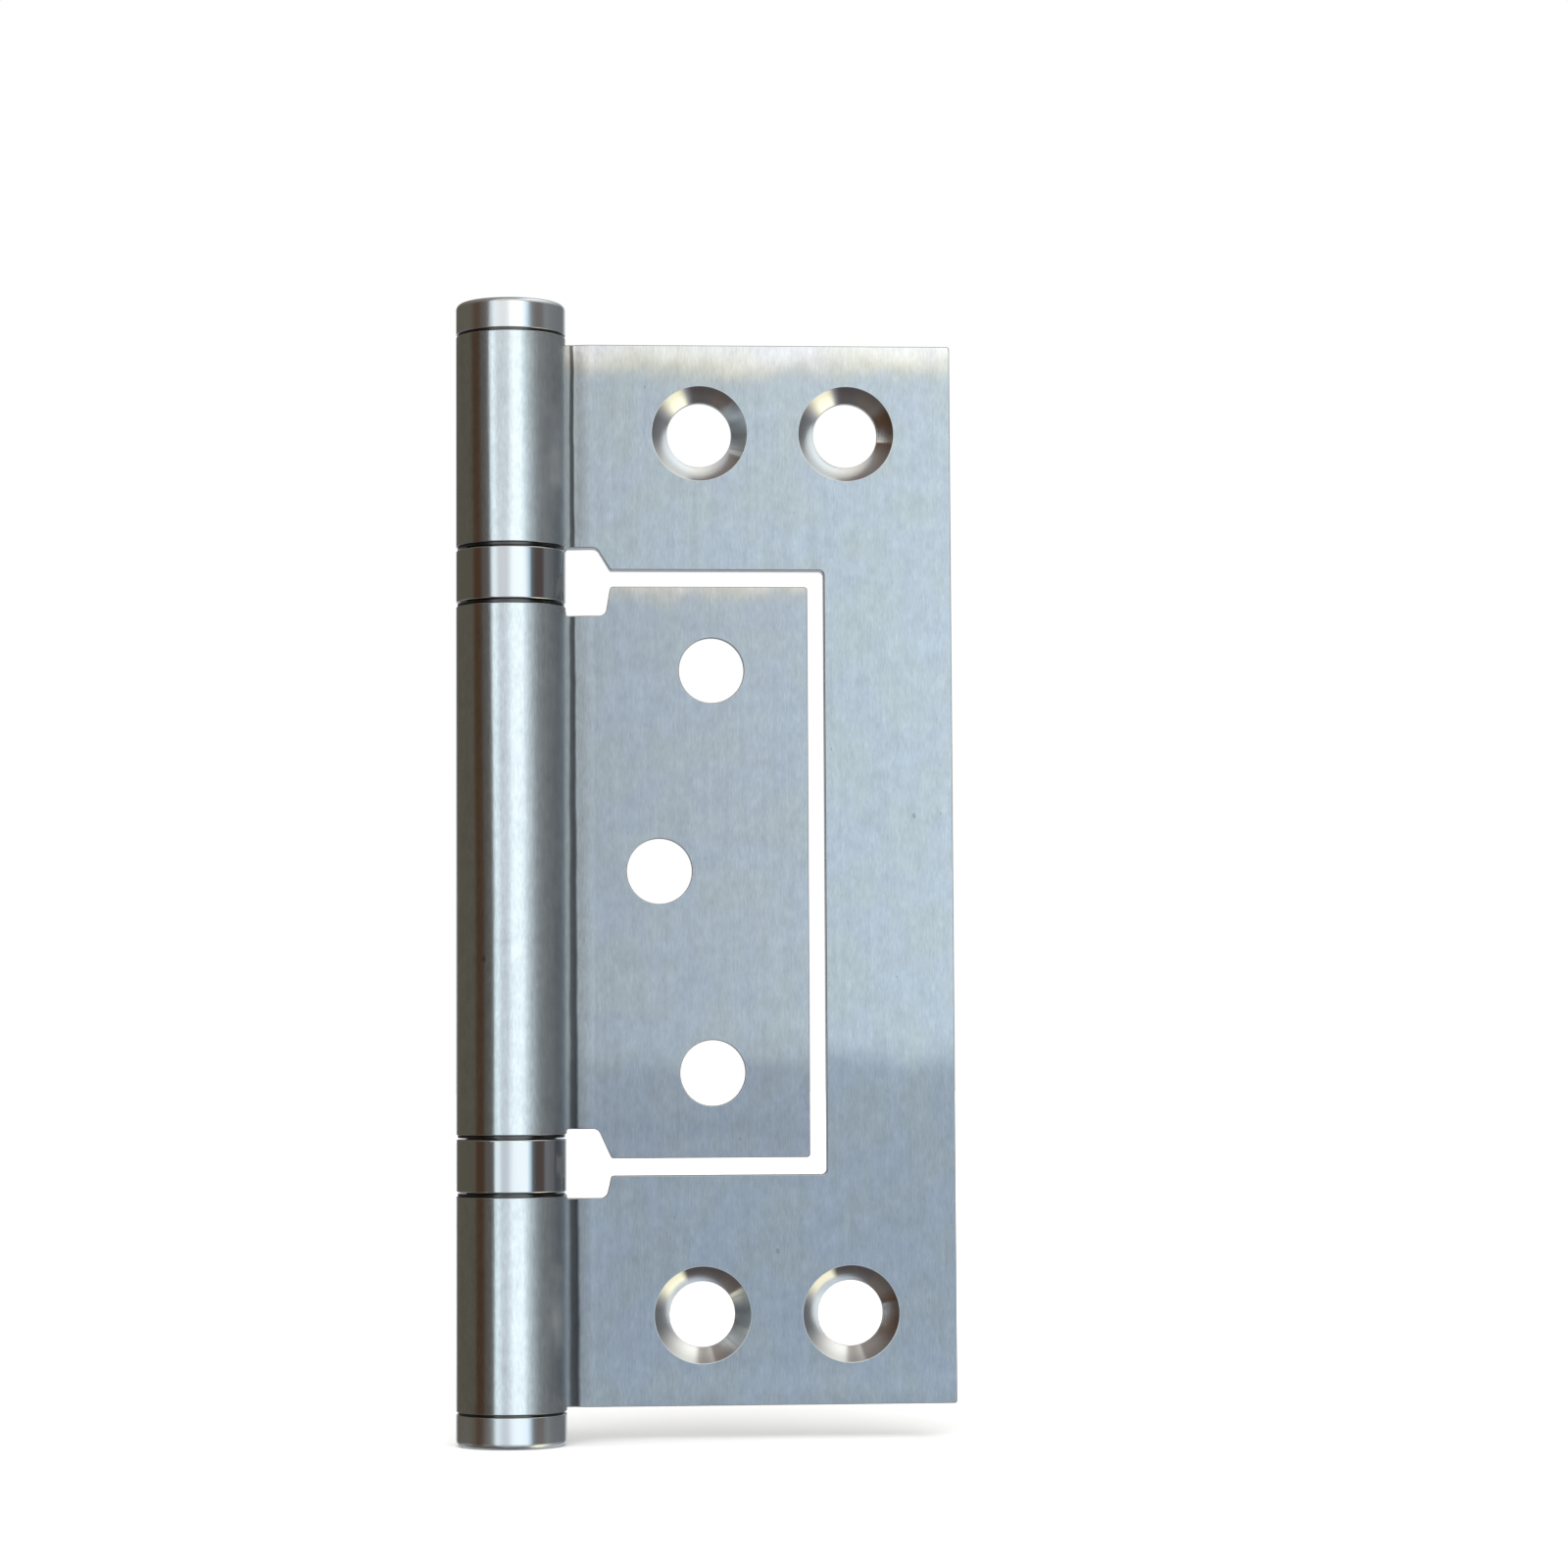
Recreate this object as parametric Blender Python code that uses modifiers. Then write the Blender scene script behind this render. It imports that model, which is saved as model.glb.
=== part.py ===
"""Interfold (flush) butt hinge with two ball bearings.

The small leaf folds into a window in the large leaf, so that the closed hinge is
one sheet thick. Both leaves are pressed sheet whose edge is rolled round the pin.
The large leaf carries the two end knuckles and goes on the door frame. The small
leaf carries the middle knuckle and goes on the door. A thrust bearing of two
grooved races, a full ring of balls and a thin rolled shell fills the space between
each pair of knuckles. Turned caps are pressed into the two open ends of the barrel.

Units are metres. +Z runs up the pin axis, +X runs from the pin to the free edges of
the leaves, and +Y points to the back, the side that lies on the door frame. The
origin is on the pin axis, at the flat end of the bottom cap.
"""

import math

import bmesh
import bpy
from mathutils import Matrix

# Sheet and pin
SHEET = 0.0025
PIN_RADIUS = 0.00395
PIN_CLEARANCE = 0.00005
PIN_CHAMFER = 0.0005
CURL_END_GAP = 0.00015
EDGE_CHAMFER = 0.0002
SWAGE_DEPTH = 0.0004
SWAGE_OFFSET = 0.0006
SWAGE_RUN = 0.0028

# Large leaf
LEAF_HEIGHT = 0.127
OUTER_REACH = 0.053
OUTER_CORNER_RADIUS = 0.0003
OUTER_HOLE_FROM_FREE_EDGE = 0.0126
OUTER_HOLE_SPACING = 0.0177
OUTER_HOLE_FROM_END = 0.0107

# Small leaf and the window that it folds into
INNER_HEIGHT = 0.0684
INNER_REACH = 0.0356
INNER_CORNER_RADIUS = 0.0004
INNER_HOLE_FROM_FREE_EDGE = 0.0116
INNER_HOLE_STAGGER = 0.0063
INNER_HOLE_ROW_SPACING = 0.0241
WINDOW_CLEARANCE = 0.00205
WINDOW_CORNER_RADIUS = 0.0006

# Relief pockets beside the bearings, which taper more at their tops
RELIEF_WIDTH = 0.0054
RELIEF_DEPTH = 0.0005
RELIEF_START = 0.0001
RELIEF_ROOT_RADIUS = 0.0003
RELIEF_TOP_TAPER = 0.0016
RELIEF_BOTTOM_TAPER = 0.0006
RELIEF_CORNER_RADIUS = 0.0009

# Screw holes
SCREW_HOLE_RADIUS = 0.0039
SINK_RADIUS = 0.00575

# Knuckles, bearings and caps along the pin
KNUCKLE_INSET = 0.003
SHELL_HEIGHT = 0.0062
BEARING_SEAM = 0.0005
SHELL_WALL = 0.0005
SHELL_LIP_REACH = 0.0006
SHELL_EDGE_RADIUS = 0.0002
RACE_CLEARANCE = 0.0001
RACE_END_PLAY = 0.00005
RACE_FACE_GAP = 0.0006
RACE_SHOULDER = 0.00015
BALL_CLEARANCE = 0.00005
BALL_SPACING = 0.0001
CAP_HEIGHT = 0.0037
CAP_SEAM = 0.0003
CAP_EDGE_RADIUS = 0.0008
CAP_STEM_LENGTH = 0.007
CAP_STEM_CLEARANCE = 0.00005
PIN_END_GAP = 0.0001

# Facets
BARREL_STEPS = 48
BEARING_STEPS = 36
HOLE_STEPS = 32
CORNER_STEPS = 3
GROOVE_STEPS = 5
BALL_DIVISIONS = 2
CUT_MARGIN = 0.002
SHARP_ANGLE = math.radians(50)

# Places that follow from the sizes above
BORE_RADIUS = PIN_RADIUS + PIN_CLEARANCE
BARREL_RADIUS = BORE_RADIUS + SHEET
FRONT_FACE = BORE_RADIUS - SWAGE_DEPTH
BACK_FACE = FRONT_FACE + SHEET
MIDDLE_KNUCKLE = INNER_HEIGHT - 2 * KNUCKLE_INSET
BEARING_SPACE = SHELL_HEIGHT + 2 * BEARING_SEAM
END_KNUCKLE_START = MIDDLE_KNUCKLE / 2 + BEARING_SPACE
BEARING_OFFSET = MIDDLE_KNUCKLE / 2 + BEARING_SPACE / 2
MID_HEIGHT = CAP_HEIGHT + CAP_SEAM + LEAF_HEIGHT / 2
RELIEF_REACH = BARREL_RADIUS + RELIEF_WIDTH
SHELL_BORE = BARREL_RADIUS - SHELL_WALL
RACE_OUTER = SHELL_BORE - RACE_CLEARANCE
RACE_BORE = PIN_RADIUS + RACE_CLEARANCE
RACE_NECK = SHELL_BORE - SHELL_LIP_REACH - RACE_CLEARANCE
PITCH_RADIUS = (RACE_OUTER + RACE_BORE) / 2
GROOVE_HALF_WIDTH = (RACE_OUTER - RACE_BORE) / 2 - RACE_SHOULDER
GROOVE_RADIUS = math.hypot(GROOVE_HALF_WIDTH, RACE_FACE_GAP / 2)
BALL_RADIUS = GROOVE_RADIUS - BALL_CLEARANCE
BALLS = int(math.pi / math.asin((BALL_RADIUS + BALL_SPACING / 2) / PITCH_RADIUS))

FACING_FRONT = math.pi / 2
FACING_BACK = -math.pi / 2


def clear_scene():
    """Remove whatever the scene holds."""
    for obj in list(bpy.data.objects):
        bpy.data.objects.remove(obj)


def new_collection(name):
    """A collection of this name, linked to the scene."""
    collection = bpy.data.collections.new(name)
    bpy.context.scene.collection.children.link(collection)
    return collection


def metal(name, color, roughness):
    """A bare metal of one colour and roughness."""
    material = bpy.data.materials.new(name)
    material.use_nodes = True
    shader = material.node_tree.nodes["Principled BSDF"]
    shader.inputs["Base Color"].default_value = (*color, 1)
    shader.inputs["Metallic"].default_value = 1
    shader.inputs["Roughness"].default_value = roughness
    return material


def arc(centre, radius, start, end, steps):
    """Points on a circle from one angle to another, in radians."""
    points = []
    for i in range(steps + 1):
        angle = start + (end - start) * i / steps
        points.append((centre[0] + radius * math.cos(angle), centre[1] + radius * math.sin(angle)))
    return points


def rounded(corners):
    """An outline with a fillet at each corner. A corner is (x, y, radius)."""
    points = []
    for i, (x, y, radius) in enumerate(corners):
        before, after = corners[i - 1], corners[(i + 1) % len(corners)]
        to_before = (before[0] - x, before[1] - y)
        to_after = (after[0] - x, after[1] - y)
        room = min(math.hypot(*to_before), math.hypot(*to_after)) / 2
        first, last = math.atan2(*reversed(to_before)), math.atan2(*reversed(to_after))
        half_turn = abs((last - first + math.pi) % math.tau - math.pi) / 2
        radius = min(radius, room * math.tan(half_turn))
        if radius == 0:
            points.append((x, y))
            continue
        middle = math.atan2(
            math.sin(first) + math.sin(last),
            math.cos(first) + math.cos(last),
        )
        away = radius / math.sin(half_turn)
        centre = (x + away * math.cos(middle), y + away * math.sin(middle))
        sweep = math.pi / 2 - half_turn
        turn = math.copysign(sweep, math.sin(last - first))
        points += arc(centre, radius, middle + math.pi + turn, middle + math.pi - turn, CORNER_STEPS)
    return points


def extruded(name, outline, depth, placing, collection):
    """A flat outline given a thickness, as a mesh with its caps welded on."""
    curve = bpy.data.curves.new(name, "CURVE")
    curve.dimensions = "2D"
    curve.fill_mode = "BOTH"
    curve.extrude = depth / 2
    spline = curve.splines.new("POLY")
    spline.points.add(len(outline) - 1)
    for point, (x, y) in zip(spline.points, outline):
        point.co = (x, y, 0, 1)
    spline.use_cyclic_u = True
    drawn = bpy.data.objects.new(name + "_outline", curve)
    collection.objects.link(drawn)
    drawn.matrix_world = placing
    graph = bpy.context.evaluated_depsgraph_get()
    mesh = bpy.data.meshes.new_from_object(drawn.evaluated_get(graph))
    shape = bmesh.new()
    shape.from_mesh(mesh)
    bmesh.ops.remove_doubles(shape, verts=shape.verts, dist=1e-6)
    bmesh.ops.recalc_face_normals(shape, faces=shape.faces)
    shape.to_mesh(mesh)
    shape.free()
    solid = bpy.data.objects.new(name, mesh)
    solid.matrix_world = drawn.matrix_world
    collection.objects.link(solid)
    bpy.data.objects.remove(drawn)
    return solid


def turned(name, profile, steps, placing, collection, closed=False):
    """A turned piece. Its profile is (radius, height) points, down the outer side."""
    points = [(radius, 0, height) for radius, height in profile]
    edges = [(i, i + 1) for i in range(len(points) - 1)]
    if closed:
        edges.append((len(points) - 1, 0))
    mesh = bpy.data.meshes.new(name)
    mesh.from_pydata(points, edges, [])
    piece = bpy.data.objects.new(name, mesh)
    piece.matrix_world = placing
    collection.objects.link(piece)
    screw = piece.modifiers.new("Turn", "SCREW")
    screw.steps = steps
    screw.render_steps = steps
    screw.use_merge_vertices = True
    screw.merge_threshold = 1e-6
    screw.use_smooth_shade = True
    return piece


def as_cutter(solid):
    """Keep a solid out of the model, as a shape that only cuts others."""
    solid.hide_render = True
    solid.display_type = "WIRE"
    return solid


def combine(solid, cutter, operation):
    """Cut a solid with another, or keep only what they share."""
    step = solid.modifiers.new(cutter.name, "BOOLEAN")
    step.operation = operation
    step.solver = "EXACT"
    step.object = cutter


def rolled_section(reach):
    """The section of a leaf across the pin: a straight run, a small swage and the curl.

    The curl leaves the leaf's back, goes round the far side of the pin, and its
    square end stops just short of the leaf's front face.
    """
    end_angle = math.tau + math.asin((BORE_RADIUS - CURL_END_GAP) / BARREL_RADIUS)
    start_angle = math.pi / 2
    steps = round(BARREL_STEPS * (end_angle - start_angle) / math.tau)
    swage_near = BARREL_RADIUS + SWAGE_OFFSET
    swage_far = swage_near + SWAGE_RUN
    far = reach + CUT_MARGIN
    front = [(far, FRONT_FACE), (swage_far, FRONT_FACE), (swage_near, BORE_RADIUS)]
    bore = arc((0, 0), BORE_RADIUS, start_angle, end_angle, steps)
    outside = arc((0, 0), BARREL_RADIUS, end_angle, start_angle, steps)
    back = [(swage_near, BARREL_RADIUS), (swage_far, BACK_FACE), (far, BACK_FACE)]
    return front + bore + outside + back


def from_halves(lower, upper):
    """An outline from its two halves, each listed away from mid-height."""
    return rounded([(x, -z, radius) for x, z, radius in reversed(lower)] + upper)


def relief(window_end, relief_end, knuckle_end, taper):
    """Corners of one side of a relief pocket, from the window's edge to the barrel."""
    relief_near = BARREL_RADIUS + RELIEF_START
    return [
        (RELIEF_REACH, window_end, INNER_CORNER_RADIUS),
        (RELIEF_REACH - taper, relief_end, RELIEF_CORNER_RADIUS),
        (relief_near, relief_end, RELIEF_ROOT_RADIUS),
        (relief_near, knuckle_end, 0),
        (-BARREL_RADIUS - CUT_MARGIN, knuckle_end, 0),
    ]


def outer_half(taper):
    """Half of the large leaf: a plate whose window is open to the barrel."""
    window_top = INNER_HEIGHT / 2 + WINDOW_CLEARANCE
    relief_end = END_KNUCKLE_START + RELIEF_DEPTH
    return [
        (INNER_REACH + WINDOW_CLEARANCE, window_top, WINDOW_CORNER_RADIUS),
        *relief(window_top, relief_end, END_KNUCKLE_START, taper),
        (-BARREL_RADIUS - CUT_MARGIN, LEAF_HEIGHT / 2, 0),
        (OUTER_REACH, LEAF_HEIGHT / 2, OUTER_CORNER_RADIUS),
    ]


def inner_half(taper):
    """Half of the small leaf, with its corner cut away beside the bearing."""
    knuckle_end = MIDDLE_KNUCKLE / 2
    return [
        (INNER_REACH, INNER_HEIGHT / 2, INNER_CORNER_RADIUS),
        *relief(INNER_HEIGHT / 2, knuckle_end - RELIEF_DEPTH, knuckle_end, taper),
    ]


def outer_holes():
    """Centres of the large leaf's screw holes, as (x, height from mid-height)."""
    far = OUTER_REACH - OUTER_HOLE_FROM_FREE_EDGE
    height = LEAF_HEIGHT / 2 - OUTER_HOLE_FROM_END
    return [(x, z) for x in (far - OUTER_HOLE_SPACING, far) for z in (-height, height)]


def inner_holes():
    """Centres of the small leaf's screw holes: the middle one stands nearer the pin."""
    far = INNER_REACH - INNER_HOLE_FROM_FREE_EDGE
    return [
        (far, -INNER_HOLE_ROW_SPACING),
        (far - INNER_HOLE_STAGGER, 0),
        (far, INNER_HOLE_ROW_SPACING),
    ]


def screw_hole(name, centre, face, facing, cutters):
    """A cutter for one countersunk hole, with its cone open at the given face."""
    profile = [
        (0, CUT_MARGIN),
        (SINK_RADIUS + CUT_MARGIN, CUT_MARGIN),
        (SCREW_HOLE_RADIUS, SCREW_HOLE_RADIUS - SINK_RADIUS),
        (SCREW_HOLE_RADIUS, -SHEET - CUT_MARGIN),
        (0, -SHEET - CUT_MARGIN),
    ]
    x, height = centre
    placing = Matrix.Translation((x, face, MID_HEIGHT + height)) @ Matrix.Rotation(facing, 4, "X")
    return as_cutter(turned(name, profile, HOLE_STEPS, placing, cutters))


def build_leaf(name, reach, outline, holes, face, facing, parts, cutters):
    """Roll a sheet, trim it to its outline, drill its countersunk holes and break its edges."""
    placing = Matrix.Translation((0, 0, MID_HEIGHT))
    leaf = extruded(name, rolled_section(reach), LEAF_HEIGHT + CUT_MARGIN, placing, parts)
    upright = placing @ Matrix.Rotation(math.pi / 2, 4, "X")
    depth = 2 * (BARREL_RADIUS + CUT_MARGIN)
    trim = as_cutter(extruded(name + "_outline_cutter", outline, depth, upright, cutters))
    combine(leaf, trim, "INTERSECT")
    for number, centre in enumerate(holes, 1):
        hole = screw_hole(f"{name}_hole_cutter_{number}", centre, face, facing, cutters)
        combine(leaf, hole, "DIFFERENCE")
    edges = leaf.modifiers.new("Broken edges", "BEVEL")
    edges.width = EDGE_CHAMFER
    edges.segments = 1
    edges.limit_method = "ANGLE"
    edges.angle_limit = SHARP_ANGLE
    return leaf


def build_pin(parts):
    """The plain pin, held between the stems of the two caps."""
    bottom = CAP_HEIGHT + CAP_SEAM + CAP_STEM_LENGTH + PIN_END_GAP
    half = MID_HEIGHT - bottom
    profile = [
        (0, half),
        (PIN_RADIUS - PIN_CHAMFER, half),
        (PIN_RADIUS, half - PIN_CHAMFER),
        (PIN_RADIUS, PIN_CHAMFER - half),
        (PIN_RADIUS - PIN_CHAMFER, -half),
        (0, -half),
    ]
    return turned("hinge_pin", profile, BARREL_STEPS, Matrix.Translation((0, 0, MID_HEIGHT)), parts)


def build_cap(name, height, turn, parts):
    """A turned cap: a head with a rounded edge, and a stem pressed into the barrel."""
    edge = BARREL_RADIUS - CAP_EDGE_RADIUS
    stem = BORE_RADIUS - CAP_STEM_CLEARANCE
    stem_end = -CAP_SEAM - CAP_STEM_LENGTH
    crown = arc((edge, CAP_HEIGHT - CAP_EDGE_RADIUS), CAP_EDGE_RADIUS, math.pi / 2, 0, CORNER_STEPS)
    profile = [(0, CAP_HEIGHT)] + crown + [
        (BARREL_RADIUS, 0),
        (stem, 0),
        (stem, stem_end + PIN_CHAMFER),
        (stem - PIN_CHAMFER, stem_end),
        (0, stem_end),
    ]
    placing = Matrix.Translation((0, 0, height)) @ Matrix.Rotation(turn, 4, "X")
    return turned(name, profile, BARREL_STEPS, placing, parts)


def build_shell(name, height, parts):
    """The polished shell of a bearing: a thin ring with both edges rolled inwards."""
    half = SHELL_HEIGHT / 2
    edge = BARREL_RADIUS - SHELL_EDGE_RADIUS
    lip = SHELL_BORE - SHELL_LIP_REACH
    upper_edge = arc((edge, half - SHELL_EDGE_RADIUS), SHELL_EDGE_RADIUS, math.pi / 2, 0, CORNER_STEPS)
    lower_edge = [(radius, -z) for radius, z in reversed(upper_edge)]
    profile = upper_edge + lower_edge + [
        (lip, -half),
        (lip, SHELL_WALL - half),
        (SHELL_BORE, SHELL_WALL - half),
        (SHELL_BORE, half - SHELL_WALL),
        (lip, half - SHELL_WALL),
        (lip, half),
    ]
    placing = Matrix.Translation((0, 0, height))
    return turned(name, profile, BEARING_STEPS, placing, parts, closed=True)


def build_race(name, height, turn, parts):
    """A grooved race: its neck passes the shell's lip and meets the knuckle's end."""
    knuckle_face = BEARING_SPACE / 2 - RACE_END_PLAY
    shoulder = SHELL_HEIGHT / 2 - SHELL_WALL - RACE_CLEARANCE
    ball_face = RACE_FACE_GAP / 2
    rise = math.asin(ball_face / GROOVE_RADIUS)
    groove = arc((PITCH_RADIUS, 0), GROOVE_RADIUS, rise, math.pi - rise, GROOVE_STEPS)
    profile = [
        (RACE_BORE, knuckle_face),
        (RACE_NECK, knuckle_face),
        (RACE_NECK, shoulder),
        (RACE_OUTER, shoulder),
        (RACE_OUTER, ball_face),
    ] + groove + [(RACE_BORE, ball_face)]
    placing = Matrix.Translation((0, 0, height)) @ Matrix.Rotation(turn, 4, "X")
    return turned(name, profile, BEARING_STEPS, placing, parts, closed=True)


def build_ball_mesh():
    """One bearing ball. Every ball shares it."""
    mesh = bpy.data.meshes.new("bearing_ball")
    shape = bmesh.new()
    bmesh.ops.create_icosphere(shape, subdivisions=BALL_DIVISIONS, radius=BALL_RADIUS)
    shape.to_mesh(mesh)
    shape.free()
    mesh.shade_smooth()
    return mesh


def build_ball_ring(name, height, mesh, parts):
    """A full ring of balls, each parented to an empty on the pin axis."""
    ring = new_empty(name + "_ring", height, parts)
    for number in range(BALLS):
        angle = math.tau * number / BALLS
        ball = bpy.data.objects.new(f"{name}_{number + 1:02d}", mesh)
        ball.location = (PITCH_RADIUS * math.cos(angle), PITCH_RADIUS * math.sin(angle), 0)
        ball.parent = ring
        parts.objects.link(ball)


def new_empty(name, height, parts):
    """An empty on the pin axis, which carries what moves together."""
    empty = bpy.data.objects.new(name, None)
    empty.location = (0, 0, height)
    parts.objects.link(empty)
    return empty


def carry(empty, pieces):
    """Parent pieces to an empty that stands at the origin."""
    for piece in pieces:
        piece.parent = empty


def give(material, pieces):
    """Put one material on each piece."""
    for piece in pieces:
        piece.data.materials.append(material)


def build_hinge():
    """Build every piece of the hinge and group it by what it moves with."""
    parts = new_collection("interfold_hinge")
    cutters = new_collection("cutters")

    outer_leaf = build_leaf(
        "outer_leaf", OUTER_REACH,
        from_halves(outer_half(RELIEF_BOTTOM_TAPER), outer_half(RELIEF_TOP_TAPER)),
        outer_holes(), FRONT_FACE, FACING_FRONT, parts, cutters,
    )
    inner_leaf = build_leaf(
        "inner_leaf", INNER_REACH,
        from_halves(inner_half(RELIEF_TOP_TAPER), inner_half(RELIEF_BOTTOM_TAPER)),
        inner_holes(), BACK_FACE, FACING_BACK, parts, cutters,
    )
    pin = build_pin(parts)
    barrel_top = MID_HEIGHT + LEAF_HEIGHT / 2 + CAP_SEAM
    top_cap = build_cap("top_cap", barrel_top, 0, parts)
    bottom_cap = build_cap("bottom_cap", CAP_HEIGHT, math.pi, parts)

    lower, upper = MID_HEIGHT - BEARING_OFFSET, MID_HEIGHT + BEARING_OFFSET
    shells = [
        build_shell("upper_bearing_shell", upper, parts),
        build_shell("lower_bearing_shell", lower, parts),
    ]
    end_races = [
        build_race("upper_bearing_end_race", upper, 0, parts),
        build_race("lower_bearing_end_race", lower, math.pi, parts),
    ]
    middle_races = [
        build_race("upper_bearing_middle_race", upper, math.pi, parts),
        build_race("lower_bearing_middle_race", lower, 0, parts),
    ]
    ball_mesh = build_ball_mesh()
    build_ball_ring("upper_ball", upper, ball_mesh, parts)
    build_ball_ring("lower_ball", lower, ball_mesh, parts)

    carry(new_empty("frame_side", 0, parts), [outer_leaf, pin, top_cap, bottom_cap] + shells + end_races)
    carry(new_empty("door_side", 0, parts), [inner_leaf] + middle_races)

    give(metal("brushed_leaf", (0.53, 0.57, 0.59), 0.34), [outer_leaf, inner_leaf])
    give(metal("turned_steel", (0.50, 0.51, 0.52), 0.28), [pin, top_cap, bottom_cap])
    give(metal("polished_shell", (0.60, 0.59, 0.57), 0.12), shells)
    give(metal("hardened_race", (0.45, 0.45, 0.46), 0.2), end_races + middle_races)
    ball_mesh.materials.append(metal("bearing_steel", (0.62, 0.62, 0.63), 0.08))


clear_scene()
build_hinge()
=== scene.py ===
"""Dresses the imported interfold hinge: fine pieces, metal finishes, floor, light and camera.

The two leaves are made as a maker makes them. A flat blank is cut to its outline, its
edges are broken and its screw holes are countersunk. A Geometry Nodes tree then rolls
one edge round the pin and sets the blank back by the small step beside the barrel.
The caps, shells, races and pin are turned, and the two rings of balls are laid out by
a second Geometry Nodes tree. Every length is in metres, in the frame of the CAD model:
the pin stands along +Z, the free edges of the leaves lie at +X and the back is at +Y.
"""

from __future__ import annotations

import logging
import math
from dataclasses import dataclass
from enum import Enum, IntEnum

import bmesh
import bpy
from mathutils import Euler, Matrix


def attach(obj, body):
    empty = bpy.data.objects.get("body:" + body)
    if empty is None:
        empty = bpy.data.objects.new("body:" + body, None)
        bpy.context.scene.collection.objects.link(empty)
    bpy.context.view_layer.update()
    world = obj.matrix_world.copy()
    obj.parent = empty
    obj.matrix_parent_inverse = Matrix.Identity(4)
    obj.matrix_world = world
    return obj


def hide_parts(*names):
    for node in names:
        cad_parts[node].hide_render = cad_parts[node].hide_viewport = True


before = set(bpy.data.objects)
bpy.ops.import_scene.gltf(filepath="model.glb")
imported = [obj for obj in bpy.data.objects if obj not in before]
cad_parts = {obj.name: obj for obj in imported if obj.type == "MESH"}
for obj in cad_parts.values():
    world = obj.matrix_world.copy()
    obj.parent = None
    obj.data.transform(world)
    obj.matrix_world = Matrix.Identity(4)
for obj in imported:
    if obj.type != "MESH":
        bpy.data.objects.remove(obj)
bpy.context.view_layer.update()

Pair = tuple[float, float]
Colour = tuple[float, float, float]
Corner = tuple[float, float, float]
Limits = tuple[Pair, Pair]
Socket = bpy.types.NodeSocket
Material = bpy.types.Material
Ring = list[bmesh.types.BMVert]

TOLERANCE = 1e-6
FILLET_ROOM = 0.499
SHARP_ANGLE = math.radians(40)
FLAT_WEIGHT = 100

log = logging.getLogger("interfold_hinge")


class Face(Enum):
    """The two faces of a leaf."""

    FRONT = "front"
    BACK = "back"


class Cut(IntEnum):
    """How a face of a leaf was made, kept on the mesh as the attribute "cut"."""

    ROLLED = 0
    SHEARED = 1
    SUNK = 2


@dataclass(frozen=True)
class HingeSizes:
    """Sizes that several pieces share, as the CAD model has them."""

    sheet: float = 0.0025
    pin: float = 0.00395
    bore: float = 0.0040
    swage_depth: float = 0.0004
    swage_near: float = 0.0070
    swage_far: float = 0.0097
    curl_gap: float = 0.00015
    middle: float = 0.0675
    leaf_height: float = 0.127
    outer_reach: float = 0.053
    inner_reach: float = 0.0356
    inner_height: float = 0.0684
    window_clearance: float = 0.00205
    middle_knuckle: float = 0.0624
    shell_height: float = 0.0062
    bearing_seam: float = 0.0005
    cap_height: float = 0.0037
    cap_seam: float = 0.0003

    @property
    def barrel(self) -> float:
        """Radius of the barrel's outside."""
        return self.bore + self.sheet

    @property
    def bearing_space(self) -> float:
        """Height between two knuckles."""
        return self.shell_height + 2 * self.bearing_seam

    @property
    def end_knuckle_start(self) -> float:
        """Height from the middle to where an end knuckle starts."""
        return self.middle_knuckle / 2 + self.bearing_space

    @property
    def bearing_offset(self) -> float:
        """Height from the middle of the hinge to the middle of a bearing."""
        return self.middle_knuckle / 2 + self.bearing_space / 2

    @property
    def neutral(self) -> float:
        """Radius of the middle of the sheet in the curl."""
        return self.bore + self.sheet / 2

    @property
    def curl_length(self) -> float:
        """Length of sheet that goes round the pin, up to the curl's square end."""
        past_full_turn = math.asin((self.bore - self.curl_gap) / self.barrel)
        return self.neutral * (math.tau - math.pi / 2 + past_full_turn)


SIZES = HingeSizes()


@dataclass(frozen=True)
class Grain:
    """One layer of noise: its cells per metre along each axis and how strong it is.

    The place moves the pattern, so that no two layers share it. The noise, from 0 to 1,
    is multiplied by the gain and added to the start. Detail counts its finer layers.
    """

    cells: Corner
    place: float = 0.0
    gain: float = 1.0
    start: float = 0.0
    detail: float = 3.0


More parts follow.
